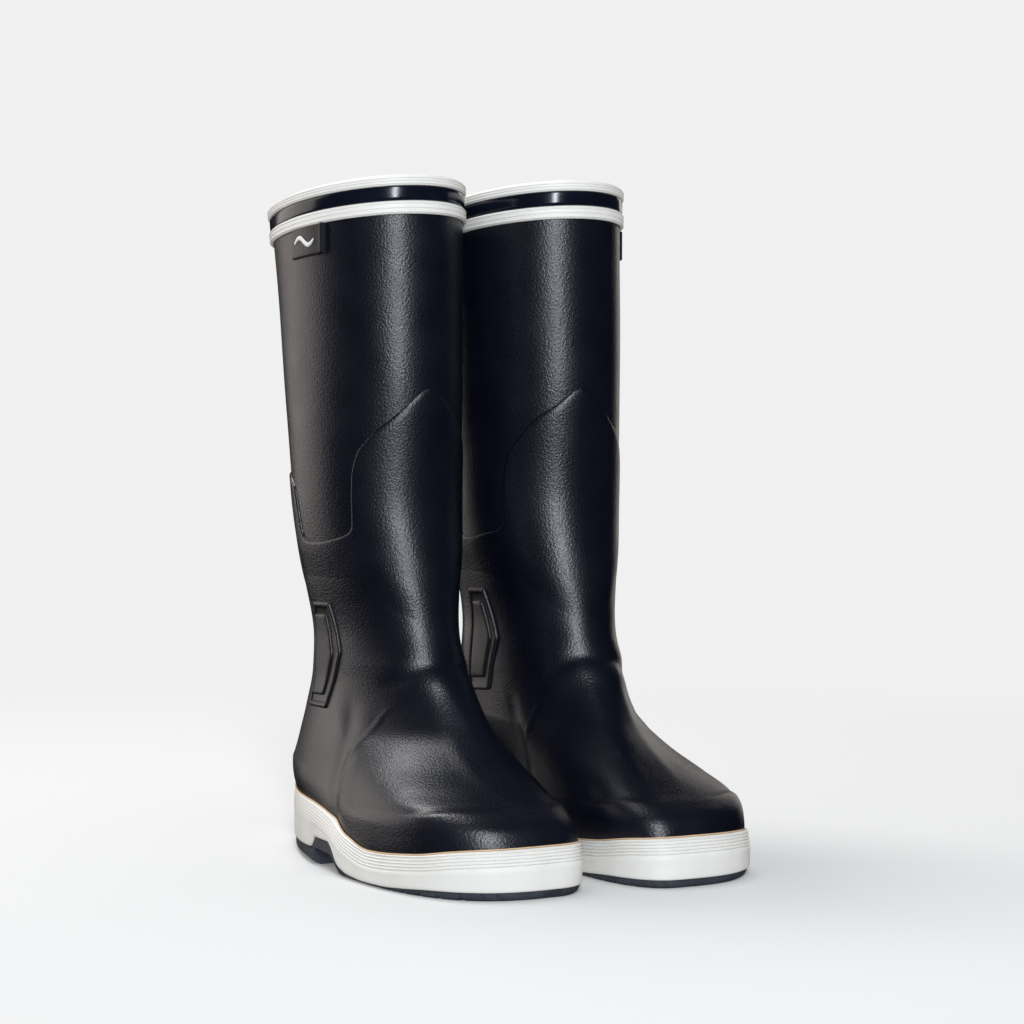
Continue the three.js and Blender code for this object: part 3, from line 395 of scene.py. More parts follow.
def settle(made, side, stands_for, body=None):
    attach(made, f"{side}_{body or 'boot'}")
    if stands_for:
        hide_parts(*[f"{side}_{node}" for node in stands_for])
    return made


def ring_piece(name, side, loop, material, stands_for, finish, angles=None, **more):
    """A section carried round the boot: loop is a list of (level or rule of distance ahead, height)."""
    angles = AROUND if angles is None else angles
    ahead = level_cut(SOLE_LEVEL, angles, sole=True)[1]
    rows = [on_skin(level(ahead) if callable(level) else level, angles, proud) for level, proud in loop]
    faces = grid_faces(len(rows), len(angles), loop_rows=True, loop_columns=True)
    return piece(name, side, np.array(rows), faces, material, stands_for, finish, **more)


print("a 3 by 4 ring has", len(grid_faces(3, 4, True, True)), "quads")

# %% [markdown]
# ## Materials
# Rubber is a dark, slightly glossy solid. The real one is pebbled by the mould, and it is the pebbles that
# break a highlight into sparks. The grain comes from noise in Object coordinates, so it has its true size
# everywhere and never slides. Plain numbers sit on the shader's own sockets.

# %% Node helpers
def new_material(name, color, roughness, specular=0.5, coat=0.0):
    material = bpy.data.materials.new(name)
    material.use_nodes = True
    tree = material.node_tree
    shader = tree.nodes["Principled BSDF"]
    shader.inputs["Base Color"].default_value = (*color, 1)
    shader.inputs["Roughness"].default_value = roughness
    shader.inputs["Specular IOR Level"].default_value = specular
    shader.inputs["Coat Weight"].default_value = coat
    return material, tree, shader


def noise(tree, scale, detail=2.0, stretch=(1, 1, 1)):
    where = tree.nodes.new("ShaderNodeTexCoord")
    fit = tree.nodes.new("ShaderNodeMapping")
    fit.inputs["Scale"].default_value = stretch
    texture = tree.nodes.new("ShaderNodeTexNoise")
    texture.inputs["Scale"].default_value = scale
    texture.inputs["Detail"].default_value = detail
    tree.links.new(where.outputs["Object"], fit.inputs["Vector"])
    tree.links.new(fit.outputs["Vector"], texture.inputs["Vector"])
    return texture.outputs["Fac"]


def remap(tree, value, low, high, to_low, to_high):
    node = tree.nodes.new("ShaderNodeMapRange")
    for socket, number in zip(("From Min", "From Max", "To Min", "To Max"), (low, high, to_low, to_high)):
        node.inputs[socket].default_value = number
    tree.links.new(value, node.inputs["Value"])
    return node.outputs["Result"]


def two_tones(tree, value, dark, light):
    node = tree.nodes.new("ShaderNodeMix")
    node.data_type = "RGBA"
    node.inputs["A"].default_value = (*dark, 1)
    node.inputs["B"].default_value = (*light, 1)
    tree.links.new(value, node.inputs["Factor"])
    return node.outputs["Result"]


def bumps(tree, shader, *layers):
    """Each layer is (value, strength, depth in millimetres)."""
    last = None
    for value, strength, depth in layers:
        node = tree.nodes.new("ShaderNodeBump")
        node.inputs["Strength"].default_value = strength
        node.inputs["Distance"].default_value = depth * MM
        tree.links.new(value, node.inputs["Height"])
        if last:
            tree.links.new(last, node.inputs["Normal"])
        last = node.outputs["Normal"]
    tree.links.new(last, shader.inputs["Normal"])


# %% Rubbers
def pebbled_rubber(name, dark, light, grain, rough, smooth):
    material, tree, shader = new_material(name, dark, rough, specular=0.7)
    blotches = noise(tree, 38, 1)
    tone = remap(tree, blotches, 0.3, 0.7, 0, 1)
    tree.links.new(two_tones(tree, tone, dark, light), shader.inputs["Base Color"])
    tree.links.new(remap(tree, blotches, 0.3, 0.7, smooth, rough), shader.inputs["Roughness"])
    pebble = noise(tree, 800, 1.5)
    swell = noise(tree, 90, 2)
    bumps(tree, shader, (pebble, grain, 0.55), (swell, 0.03, 0.5))
    return material


def smooth_rubber(name, dark, light, rough, grain=0.05, specular=0.5, coat=0.0):
    material, tree, shader = new_material(name, dark, rough, specular, coat)
    patches = noise(tree, 60, 4)
    tone = remap(tree, patches, 0.35, 0.65, 0, 1)
    tree.links.new(two_tones(tree, tone, dark, light), shader.inputs["Base Color"])
    tree.links.new(remap(tree, patches, 0.3, 0.7, rough * 0.85, rough * 1.15), shader.inputs["Roughness"])
    bumps(tree, shader, (noise(tree, 420, 3), grain, 0.3), (noise(tree, 35, 2), 0.1, 0.8))
    return material


NAVY = pebbled_rubber("navy rubber", (0.0018, 0.0026, 0.0090), (0.0026, 0.0036, 0.0115), 0.42, 0.39, 0.34)
GLOSS = smooth_rubber("gloss rubber", (0.003, 0.004, 0.010), (0.004, 0.006, 0.014), 0.17, 0.03)
WHITE = smooth_rubber("white rubber", (0.76, 0.75, 0.715), (0.80, 0.79, 0.76), 0.48, 0.08)
TAN = smooth_rubber("tan rubber line", (0.62, 0.42, 0.24), (0.72, 0.50, 0.30), 0.55)
GREY = smooth_rubber("grey outsole rubber", (0.040, 0.047, 0.062), (0.052, 0.060, 0.078), 0.5, 0.15)
PLATE = pebbled_rubber("ankle plate rubber", (0.0060, 0.0065, 0.0095), (0.0090, 0.0095, 0.0130),
                       0.30, 0.46, 0.40)
print("rubbers:", [m.name for m in (NAVY, GLOSS, WHITE, TAN, GREY, PLATE)])

# %% [markdown]
# ## Upper
# The upper is one wall of rubber from the sole wall to the rim. It is a ring with many rows: close
# together on the foot, where the relief is, and wider apart up the leg. The inner wall needs only a few
# rows.

# %% Rubber upper
RUBBER_WALL, GAP = 2.6, 0.3
RIM = BOOT_HEIGHT - 2
floor_at = curve([(0, 22.5), (138, 22.5), (0.62 * FOOT_LENGTH, 16), (0.72 * FOOT_LENGTH, 13.5),
                  (FOOT_LENGTH, 15)])
foxing_top = curve([(0, 39), (100, 38), (122, 36.4), (139, 33), (160, 25.4), (189, 20.6), (233, 23.4),
                    (262, 27.5), (FOOT_LENGTH, 29)])


def make_upper(side):
    outer = [(lambda u: floor_at(u) + 2, 0.0)]
    outer += [(lambda u, t=t: mix(floor_at(u) + 2, 42, t), 0.0) for t in (0.2, 0.35, 0.5, 0.65, 0.8, 0.9)]
    outer += [(z, 0.0) for z in np.r_[np.arange(42, 128, 1.1), np.arange(128, RIM, 2.4), RIM]]
    inner = [(z, -RUBBER_WALL) for z in (RIM, 370, 300, 240, 190, 150, 130, 110, 90, 75, 62, 52, 44)]
    inner += [(lambda u: floor_at(u) + 4, -RUBBER_WALL)]
    stands_for = ("foot", "leg", "toe_cap", "heel_counter")
    return ring_piece("upper", side, outer + inner, NAVY, stands_for, "navy_rubber")


for side in SIDES:
    made = make_upper(side)
    print(made.name, len(made.data.polygons), "faces")

# %% [markdown]
# ## Leg guard
# A second layer of rubber protects the shin. Its top edge peaks in front, drops down each side of the shin
# and runs back along a notch. The edge is one smooth line round the leg, and each of its points has a
# strand of rows that runs down to the ankle. The first rows stand square to the edge and round it over, so
# the edge stays crisp. The layer keeps its height until it nears its lower edge, where it sinks into the
# skin. Its back follows the skin too, in rows of its own, or it would cut through the hollow of the shin.

# %% Leg guard
GUARD, GUARD_FADE = 1.3, 28.0      # height, and how far above the lower edge it is reached
GUARD_BACK = -0.6                  # the hidden back face lies this far under the skin
GUARD_EDGE = [(-90, 240), (-60, 239), (-32, 236), (-22, 233), (-14, 228), (-11, 218), (-9.5, 206),
              (-8, 198.5), (-4, 195.2), (2, 194.4), (14, 195), (28, 198), (35, 200.6), (37.8, 204),
              (38.8, 212), (39.6, 224), (40.4, 236), (42, 243), (45, 250.5), (55, 261), (66, 268.5),
              (78, 278), (86, 284), (92, 286.5), (98, 284), (108, 277), (122, 269), (134, 257),
              (141, 248), (144, 236), (145, 222), (146, 208), (148, 203), (152, 200.5), (168, 197),
              (178, 195), (184, 195.2), (188, 198.5), (189.5, 206), (191, 218), (194, 228), (202, 233),
              (212, 236), (240, 239), (270, 240)]
guard_base = curve([(-90, 137), (-50, 147), (-20, 166), (30, 166), (65, 145), (90, 138), (115, 145),
                    (150, 166), (200, 166), (230, 147), (270, 137)])


def rounded_line(points, step, passes):
    """The line at even steps, with its corners eased."""
    p = np.array(points, float)
    scaled = p * (1.1, 1.0)
    run = np.r_[0, np.cumsum(np.hypot(*np.diff(scaled, axis=0).T))]
    t = np.linspace(0, run[-1], int(run[-1] / step) + 1)
    line = np.stack([np.interp(t, run, p[:, i]) for i in (0, 1)], -1)[:-1]
    for _ in range(passes):
        before, after = np.roll(line, 1, 0), np.roll(line, -1, 0)
        before[0, 0] -= 360
        after[-1, 0] += 360
        line = (before + 2 * line + after) / 4
    return line


def make_guard(side):
    edge = rounded_line(GUARD_EDGE, 0.7, 6)
    angle, level = np.radians(edge[:, 0]), edge[:, 1]
    radius = np.linalg.norm(bare_point(level, angle + 0.01) - bare_point(level, angle - 0.01), axis=-1) / 0.02
    before, after = np.roll(edge, 1, 0), np.roll(edge, -1, 0)
    before[0, 0] -= 360
    after[-1, 0] += 360
    across = np.radians(after[:, 0] - before[:, 0]) * radius
    rise = after[:, 1] - before[:, 1]
    length = np.hypot(across, rise)
    into_angle, into_level = rise / length / radius, -across / length
    strands = math.pi * (-0.5 + 2 * (np.arange(len(edge)) + 0.5) / len(edge))
    strands = mix(angle, strands, 0.12)
    low = guard_base(np.degrees(strands))
    rows = [on_skin(level, angle, GUARD_BACK)]
    wide = 1 + 2.6 * ease(level, 246, 274)
    for inward, height in ((0, 0.2), (0.1, 0.6), (0.4, 0.95), (0.8, 1.2), (1.4, GUARD)):
        rows.append(on_skin(level + into_level * inward * wide, angle + into_angle * inward * wide, height))
    start_level, start_angle = level + into_level * 2.2 * wide, angle + into_angle * 2.2 * wide
    for t in np.linspace(0, 1, 45):
        at_level = mix(start_level, low, t)
        rows.append(on_skin(at_level, mix(start_angle, strands, ease(t, 0, 0.5)),
                            mix(-0.25, GUARD, ease(at_level - low, 0, GUARD_FADE))))
    for t in np.linspace(1, 0, 24):
        rows.append(on_skin(mix(start_level, low, t), mix(start_angle, strands, ease(t, 0, 0.5)), GUARD_BACK))
    faces = grid_faces(len(rows), len(edge), loop_rows=True, loop_columns=True)
    return piece("leg_guard", side, np.array(rows), faces, NAVY, ("leg_guard",), "navy_rubber")


for side in SIDES:
    made = make_guard(side)
    print(made.name, len(made.data.polygons), "faces")

# %% [markdown]
# ## Ankle plates
# Each ankle has a moulded plate with a raised rim along its front, a groove, and a pad inside it. Both are
# drawn as a flat outline with eased corners. Rings step in from the outline, each at its own height, and
# the last one closes over the middle.

# %% Outlines laid on the side of the boot
def outline_points(corners, easing, step=0.8):
    """Points along a closed outline, with rounded corners."""
    p = np.array([*corners, corners[0]], float)
    run = np.r_[0, np.cumsum(np.hypot(*np.diff(p, axis=0).T))]
    t = np.linspace(0, run[-1], int(run[-1] / step) + 1)[:-1]
    line = np.stack([np.interp(t, run, p[:, i]) for i in (0, 1)], -1)
    for _ in range(easing):
        line = (np.roll(line, 1, 0) + 2 * line + np.roll(line, -1, 0)) / 4
    return line


def stepped_in(line, distance):
    """The outline moved in by a distance, square to itself."""
    along = np.roll(line, -1, 0) - np.roll(line, 1, 0)
    along /= np.hypot(*along.T)[:, None]
    inward = np.stack([-along[:, 1], along[:, 0]], -1)
    centre = line.mean(0)
    if (inward * (centre - line)).sum() < 0:
        inward = -inward
    return line + inward * distance


def flat_piece(name, side, outside, corners, steps, crown, material, stands_for, finish, easing=3):
    """steps are (distance in from the outline, height); crown is the height over the middle."""
    line = outline_points(corners, easing)
    loops = [(stepped_in(line, distance), height) for distance, height in steps]
    last, height = loops[-1]
    centre = last.mean(0)
    loops += [(mix(last, centre, t), mix(height, crown, ease(t, 0, 1))) for t in (0.2, 0.45, 0.7, 0.9)]
    rows = [on_skin(p[:, 1], angle_at(p[:, 1], p[:, 0], outside), h) for p, h in loops]
    middle = on_skin(centre[1], angle_at(centre[1], centre[0], outside), crown).reshape(1, 3)
    foot = on_skin(centre[1], angle_at(centre[1], centre[0], outside), -0.9).reshape(1, 3)
    count = len(line)
    points = np.concatenate([np.array(rows).reshape(-1, 3), middle, foot])
    faces = grid_faces(len(rows), count, loop_columns=True)
    top, under = len(rows) * count, len(rows) * count + 1
    for i in range(count):
        faces.append([top - count + i, top - count + (i + 1) % count, top])
        faces.append([(i + 1) % count, i, under])
    return piece(name, side, points, faces, material, stands_for, finish, smooth=40)


PLATE_CORNERS = {"outer": [(67.5, 157), (89, 157.5), (98.5, 127), (86, 92), (55, 91)],
                 "inner": [(62, 162), (84, 163), (95.5, 132), (83.5, 98), (55, 96)]}
PAD_CORNERS = {"outer": [(68.5, 149.5), (83.5, 150), (89.5, 125), (79.5, 99.5), (61, 98.5)],
               "inner": [(66, 154), (78.5, 154.5), (87.5, 131.5), (77.5, 105.5), (60, 104.5)]}
PLATE_STEPS = [(0, -0.9), (0, 0.5), (0.3, 1.1), (0.8, 1.45), (1.4, 1.55), (2.5, 1.5), (3.0, 1.3), (3.4, 0.8),
               (3.8, 0.5), (4.2, 0.4)]
PAD_STEPS = [(0, 0.2), (0, 0.9), (0.3, 1.35), (0.8, 1.6), (1.6, 1.75), (3, 1.8)]

for side in SIDES:
    for face in ("outer", "inner"):
        plate = flat_piece(f"{face}_ankle_plate", side, face == "outer", PLATE_CORNERS[face], PLATE_STEPS,
                           0.35, PLATE, (f"{face}_ankle_plate",), "dark_rubber")
        pad = flat_piece(f"{face}_ankle_pad", side, face == "outer", PAD_CORNERS[face], PAD_STEPS, 1.9,
                         PLATE, (f"{face}_ankle_pad",), "navy_rubber")
    print(side, "ankle plates:", len(plate.data.polygons), "faces, pads:", len(pad.data.polygons))

# %% [markdown]
# ## Bands round the top
# The rim is bound in white rubber that rolls over to the inside. A glossy strip lies under it and a second
# white band under that. Each is a section carried round the boot on the skin.

# %% Binding, glossy strip and lower band
BINDING_LOW = BOOT_HEIGHT - 6.2
STRIP_TOP = BINDING_LOW - GAP
LOWER_TOP = STRIP_TOP - 8.2 - GAP
LOWER_LOW = LOWER_TOP - 7.6
BINDING = [(BINDING_LOW, 0.45), (BINDING_LOW - 0.1, 1.3), (BINDING_LOW + 0.5, 1.85),
           (BINDING_LOW + 1.4, 2.0), (405.4, 2.0), (406.6, 1.9), (407.4, 1.5), (407.9, 0.7),
           (408.1, -0.6), (408.1, -3.4), (407.8, -5.0), (407.0, -6.1), (405.8, -6.6), (403.4, -6.6),
           (BINDING_LOW + 0.4, -6.3), (BINDING_LOW, -5.7), (BINDING_LOW + 0.2, -5.25),
           (RIM + 0.35, -5.25), (RIM + 0.35, 0.45)]
STRIP = [(STRIP_TOP, 0.4), (STRIP_TOP, 1.0), (STRIP_TOP - 0.4, 1.3), (STRIP_TOP - 2, 1.45),
         (STRIP_TOP - 6.2, 1.45), (STRIP_TOP - 7.8, 1.3), (STRIP_TOP - 8.2, 1.0), (STRIP_TOP - 8.2, 0.4)]
LOWER = [(LOWER_TOP, 0.4), (LOWER_TOP, 1.3), (LOWER_TOP - 0.4, 1.8), (LOWER_TOP - 1.2, 2.05),
         (LOWER_LOW + 1.3, 2.05), (LOWER_LOW + 0.5, 1.85), (LOWER_LOW, 1.3), (LOWER_LOW, 0.4)]
for side in SIDES:
    ring_piece("top_binding", side, BINDING, WHITE, ("top_binding",), "white_rubber", smooth=60)
    ring_piece("collar_band", side, STRIP, GLOSS, ("collar_band",), "gloss_rubber", smooth=60)
    ring_piece("lower_band", side, LOWER, WHITE, ("lower_band",), "white_rubber", smooth=60)
print("bands from level", round(LOWER_LOW, 1), "to", BOOT_HEIGHT)

# %% [markdown]
# ## Fine ribs, with Geometry Nodes
# The white bands carry fine raised ribs, and a thin tan line runs along the top of the sole wall. Each is
# a bead that follows a path, so a small node tree makes them all: it turns the path's edges into a curve,
# thickens it with a round section, and gives it its rubber. The width and the number of sides are named
# inputs.

# %% Bead tree
def bead_tree():
    tree = bpy.data.node_groups.new("bead along a path", "GeometryNodeTree")
    face = tree.interface
    face.new_socket("Path", in_out="INPUT", socket_type="NodeSocketGeometry")
    face.new_socket("Bead radius", in_out="INPUT", socket_type="NodeSocketFloat")
    face.new_socket("Sides", in_out="INPUT", socket_type="NodeSocketInt")
    face.new_socket("Rubber", in_out="INPUT", socket_type="NodeSocketMaterial")
    face.new_socket("Bead", in_out="OUTPUT", socket_type="NodeSocketGeometry")
    nodes, link = tree.nodes, tree.links.new
    start, end = nodes.new("NodeGroupInput"), nodes.new("NodeGroupOutput")
    line = nodes.new("GeometryNodeMeshToCurve")
    section = nodes.new("GeometryNodeCurvePrimitiveCircle")
    sweep = nodes.new("GeometryNodeCurveToMesh")
    smooth = nodes.new("GeometryNodeSetShadeSmooth")
    real = nodes.new("GeometryNodeRealizeInstances")
    rubber = nodes.new("GeometryNodeSetMaterial")
    link(start.outputs["Path"], line.inputs["Mesh"])
    link(start.outputs["Bead radius"], section.inputs["Radius"])
    link(start.outputs["Sides"], section.inputs["Resolution"])
    link(line.outputs["Curve"], sweep.inputs["Curve"])
    link(section.outputs["Curve"], sweep.inputs["Profile Curve"])
    link(sweep.outputs["Mesh"], smooth.inputs["Geometry"])
    link(smooth.outputs["Geometry"], real.inputs["Geometry"])
    link(real.outputs["Geometry"], rubber.inputs["Geometry"])
    link(start.outputs["Rubber"], rubber.inputs["Material"])
    link(rubber.outputs["Geometry"], end.inputs["Bead"])
    return tree


BEADS = bead_tree()
print("bead tree inputs:", [item.name for item in BEADS.interface.items_tree if item.in_out == "INPUT"])


# %% Ribs on the bands, and the line on the sole wall
def beads(name, side, paths, radius, sides, material, stands_for):
    """Closed paths, each an array of points in boot space, made into beads by the node tree."""
    count = len(paths[0])
    points = in_frame(np.concatenate(paths), side)
    edges = [(p * count + i, p * count + (i + 1) % count) for p in range(len(paths)) for i in range(count)]
    mesh = bpy.data.meshes.new("paths")
    mesh.from_pydata(points.tolist(), edges, [])
    raw = bpy.data.objects.new("paths", mesh)
    scene.collection.objects.link(raw)
    modifier = raw.modifiers.new("beads", "NODES")
    modifier.node_group = BEADS
    values = {"Bead radius": radius * MM, "Sides": sides, "Rubber": material}
    for item in BEADS.interface.items_tree:
        if item.in_out == "INPUT" and item.name in values:
            modifier[item.identifier] = values[item.name]
    bpy.context.view_layer.update()
    swept = bpy.data.meshes.new_from_object(raw.evaluated_get(bpy.context.evaluated_depsgraph_get()))
    bpy.data.objects.remove(raw)
    work = bmesh.new()
    work.from_mesh(swept)
    bmesh.ops.recalc_face_normals(work, faces=work.faces)
    work.to_mesh(swept)
    work.free()
    made = bpy.data.objects.new(f"{side}_{name}_piece", swept)
    scene.collection.objects.link(made)
    return settle(made, side, stands_for)


def path_round(level, height):
    ahead = level_cut(SOLE_LEVEL, AROUND, sole=True)[1]
    return on_skin(level(ahead) if callable(level) else level, AROUND, height)


for side in SIDES:
    ribs = [path_round(z, 1.85) for z in (BINDING_LOW + 1.3, BINDING_LOW + 2.9, BINDING_LOW + 4.5)]
    beads("binding_ribs", side, ribs, 0.5, 10, WHITE, ())
    ribs = [path_round(z, 1.9) for z in (LOWER_LOW + 1.3, LOWER_LOW + 3.8, LOWER_TOP - 1.3)]
    made = beads("lower_band_ribs", side, ribs, 0.55, 10, WHITE, ())
    line = [path_round(lambda u: foxing_top(u) + 0.3, 0.75)]
    beads("foxing_line", side, line, 0.4, 10, TAN, ("foxing_line",))
print("one band's ribs:", len(made.data.polygons), "faces")

# %% [markdown]
# ## Sole wall
# The pale wall round the foot, called foxing, covers the joint between upper and sole. Its upper third is
# ribbed at the toe, and the ribs fade out towards the heel. It is one ring whose section has a row for
# every rise and fall of the ribs. Its lower edge lifts over the arch, so the ring gets extra columns where
# that edge turns.

# %% Foxing
foxing_low = curve([(0, 8), (63, 9.3), (103, 11), (107, 13), (113, 18.2), (137, 18.6), (141, 16.5), (146, 12),
                    (151, 7.0), (156, 5.2), (164, 3.4), (185, 2.0), (205, 2.2), (224, 3.4), (247, 4.8),
                    (FOOT_LENGTH, 5.2)])
rib_share = curve([(60, 0.1), (150, 0.3), (205, 1.0), (FOOT_LENGTH, 1.15)])
RIB_ZONE, RIB_COUNT, RIB_DEPTH, RIB_SETIN = 10.0, 5, 0.75, 0.2


def sole_point(angle, inset, level):
    """A point of the sole's outline, set in square to it."""
    aside, ahead = level_cut(SOLE_LEVEL, angle, sole=True)
    a1, u1 = level_cut(SOLE_LEVEL, angle + 0.01, sole=True)
    a0, u0 = level_cut(SOLE_LEVEL, angle - 0.01, sole=True)
    along = np.stack([a1 - a0, u1 - u0], -1)
    along /= np.linalg.norm(along, axis=-1, keepdims=True)
    return np.stack([aside - along[:, 1] * inset, FOOT_LENGTH / 2 - (ahead + along[:, 0] * inset),
                     level + 0 * aside], -1)


def columns_at(stations):
    """The even columns, with more of them at the given distances ahead."""
    extra = np.concatenate([angle_at(SOLE_LEVEL, np.array(stations), outside, sole=True)
                            for outside in (True, False)])
    extra = np.where(extra >= 1.5 * math.pi, extra - 2 * math.pi, extra)
    merged = np.sort(np.r_[AROUND, extra])
    return merged[np.r_[True, np.diff(merged) > 0.002]]


FOXING_COLUMNS = columns_at(np.r_[np.arange(100, 116, 1.5), np.arange(135, 158, 1.5)])


def make_foxing(side):
    angles = FOXING_COLUMNS
    ahead = level_cut(SOLE_LEVEL, angles, sole=True)[1]
    low, high = foxing_low(ahead), foxing_top(ahead)
    rows = [sole_point(angles, inset, low + lift)
            for inset, lift in ((2.0, 0.3), (1.0, 0), (0.35, 0.25), (0.05, 0.9), (-0.05, 2))]
    skin = on_skin(high, angles, 0.9)
    flat = sole_point(angles, 0.5, high)
    lean = flat + (skin - flat) * 0.28
    base = sole_point(angles, -0.1, high - RIB_ZONE)
    rows += [mix(rows[-1], base, t) for t in (0.25, 0.5, 0.75)]
    steps = RIB_COUNT * 6
    for i in range(steps + 1):
        t = i / steps
        swing = 0.5 - 0.5 * math.cos(2 * math.pi * RIB_COUNT * t)
        wave = RIB_DEPTH * rib_share(ahead) * swing * ease(t, 1.02, 0.9)
        point = mix(base, lean, np.array([t ** 1.6, t ** 1.6, t * 0.92]))
        outward = flat - sole_point(angles, 1.5, high)
        rows.append(point - outward * (wave - RIB_SETIN)[:, None])
    rows += [mix(rows[-1], on_skin(high - 0.1, angles, 0.9), t) for t in (0.3, 0.6, 0.85)]
    rows += [on_skin(high - 0.15, angles, 0.25), on_skin(high - 2, angles, 0.1)]
    rows += [on_skin(mix(high - 2, floor_at(ahead) + 4, t), angles, 0.1) for t in (0.5, 1)]
    rows.append(sole_point(angles, 5.5, mix(floor_at(ahead) + 2, low + 1, 0.6)))
    rows.append(sole_point(angles, 3.6, low + 0.8))
    faces = grid_faces(len(rows), len(angles), loop_rows=True, loop_columns=True)
    return piece("foxing", side, np.array(rows), faces, WHITE, ("foxing",), "white_rubber", smooth=48)


for side in SIDES:
    made = make_foxing(side)
    print(made.name, len(made.data.polygons), "faces")

# %% [markdown]
# ## Outsole
# The tread is a block whose section is the same kind of six-cornered shape all along the foot: top, side,
# bevel and bottom. So it is swept from heel to toe, one section at each distance ahead. Sections crowd
# together at the heel breast, at the arch and at each water channel, where the bottom steps up.

# %% Tread levels
HEEL_LENGTH, FOREPART_START, BREAST_SLOPE, RAMP = 108, 144, 5, 12
BREAST = (HEEL_LENGTH - BREAST_SLOPE / 2, HEEL_LENGTH + BREAST_SLOPE / 2)
ARCH_END = (FOREPART_START - RAMP / 2, FOREPART_START + RAMP / 2)
CHANNEL_WIDTH, CHANNEL_DEPTH, CHANNEL_PITCH = 2.4, 2.0, 13.0
channels = [*np.arange(ARCH_END[1] + CHANNEL_PITCH / 2, FOOT_LENGTH - CHANNEL_PITCH, CHANNEL_PITCH),
            *np.arange(CHANNEL_PITCH * 1.5, BREAST[0] - CHANNEL_PITCH / 2, CHANNEL_PITCH * 1.5)]


def straight(points):
    x, y = np.array(points, float).T
    return lambda v: np.interp(v, x, y)


sole_top = straight([(BREAST[0], 9.9), (BREAST[1], 17.9), (ARCH_END[0], 17.9), (ARCH_END[1], 5.4),
                     (FOOT_LENGTH, 6.4)])
sole_low = straight([(BREAST[0], 0), (BREAST[1], 8), (ARCH_END[0], 8), (ARCH_END[1], 0)])
bevel_in = straight([(84, 7), (167, 4.5)])
side_in = straight([(100, 0.9), (150, 1.2), (158, 2.6), (230, 2.6), (255, 1.5), (279, 1.2)])


def make_outsole(side):
    t = np.linspace(-math.pi / 2, math.pi / 2, 130)[1:-1]
    ahead = level_cut(SOLE_LEVEL, t, sole=True)[1]
    edges = [c + o for c in channels for o in (-1.25, -1.2, 1.2, 1.25)]
    ahead = np.unique(np.r_[ahead, edges, BREAST, ARCH_END].round(3))
    ahead = ahead[(ahead > SOLE_SETIN + 0.05) & (ahead < FOOT_LENGTH - 0.05)]
    outer, inner = (angle_at(SOLE_LEVEL, ahead, outside, sole=True) for outside in (True, False))
    cut = np.zeros_like(ahead)
    for c in channels:
        cut[np.abs(ahead - c) < CHANNEL_WIDTH / 2 + 0.01] = CHANNEL_DEPTH
    low = sole_low(ahead)
    loops = []
    for angle in (outer, inner):
        loops.append([sole_point(angle, side_in(ahead), sole_top(ahead)),
                      sole_point(angle, side_in(ahead) + 0.1, np.minimum(low + 3.6, sole_top(ahead) - 0.4)),
                      sole_point(angle, bevel_in(ahead) * 0.55, low + 1.3 + 0.35 * cut),
                      sole_point(angle, bevel_in(ahead), low + cut)])
    rows = np.array(loops[0] + loops[1][::-1])
    count = len(ahead)
    faces = grid_faces(len(rows), count, loop_rows=True)
    for end in (0, count - 1):
        faces.append([r * count + end for r in range(len(rows))])
    return piece("outsole", side, rows, faces, GREY, ("outsole",), "grey_rubber", smooth=35)


# %% Tread rubber with fine wavy cuts
def add_wavy_cuts(material):
    """Razor cuts across the tread: narrow wavy grooves, bumped into the normal on every face of the tread
    rubber.
    """
    tree = material.node_tree
    shader = tree.nodes["Principled BSDF"]
    where = tree.nodes.new("ShaderNodeTexCoord")
    wave = tree.nodes.new("ShaderNodeTexWave")
    wave.bands_direction = "Y"
    wave.inputs["Scale"].default_value = 70
    wave.inputs["Distortion"].default_value = 2.2
    wave.inputs["Detail Scale"].default_value = 55
    tree.links.new(where.outputs["Object"], wave.inputs["Vector"])
    groove = remap(tree, wave.outputs["Fac"], 0.0, 0.12, 0, 1)
    bump = tree.nodes.new("ShaderNodeBump")
    bump.inputs["Strength"].default_value = 0.6
    bump.inputs["Distance"].default_value = 0.8 * MM
    tree.links.new(groove, bump.inputs["Height"])
    before = shader.inputs["Normal"].links[0].from_socket
    tree.links.new(before, bump.inputs["Normal"])
    tree.links.new(bump.outputs["Normal"], shader.inputs["Normal"])


add_wavy_cuts(GREY)
for side in SIDES:
    made = make_outsole(side)
    print(made.name, len(made.data.polygons), "faces,", len(channels), "channels")

# %% [markdown]
# ## Lining and footbed
# Inside is a knitted lining glued to the rubber, and a loose footbed with a cloth face. The knit is a fine
# grid of waves in the material, because its loops are far too small to model one by one.

# %% Cloth finishes
def cloth(name, dark, light, scale, across=1.0):
    material, tree, shader = new_material(name, dark, 0.92, specular=0.2)
    shader.inputs["Sheen Weight"].default_value = 0.25
    fibre = noise(tree, scale, 2, (across, across, 0.35))
    tones = two_tones(tree, remap(tree, fibre, 0.35, 0.65, 0, 1), dark, light)
    tree.links.new(tones, shader.inputs["Base Color"])
    where = tree.nodes.new("ShaderNodeTexCoord")
    rows = tree.nodes.new("ShaderNodeTexWave")
    rows.bands_direction = "Z"
    rows.inputs["Scale"].default_value = 190
    rows.inputs["Distortion"].default_value = 1.5
    tree.links.new(where.outputs["Object"], rows.inputs["Vector"])
    bumps(tree, shader, (fibre, 0.5, 0.5), (rows.outputs["Fac"], 0.4, 0.4))
    return material


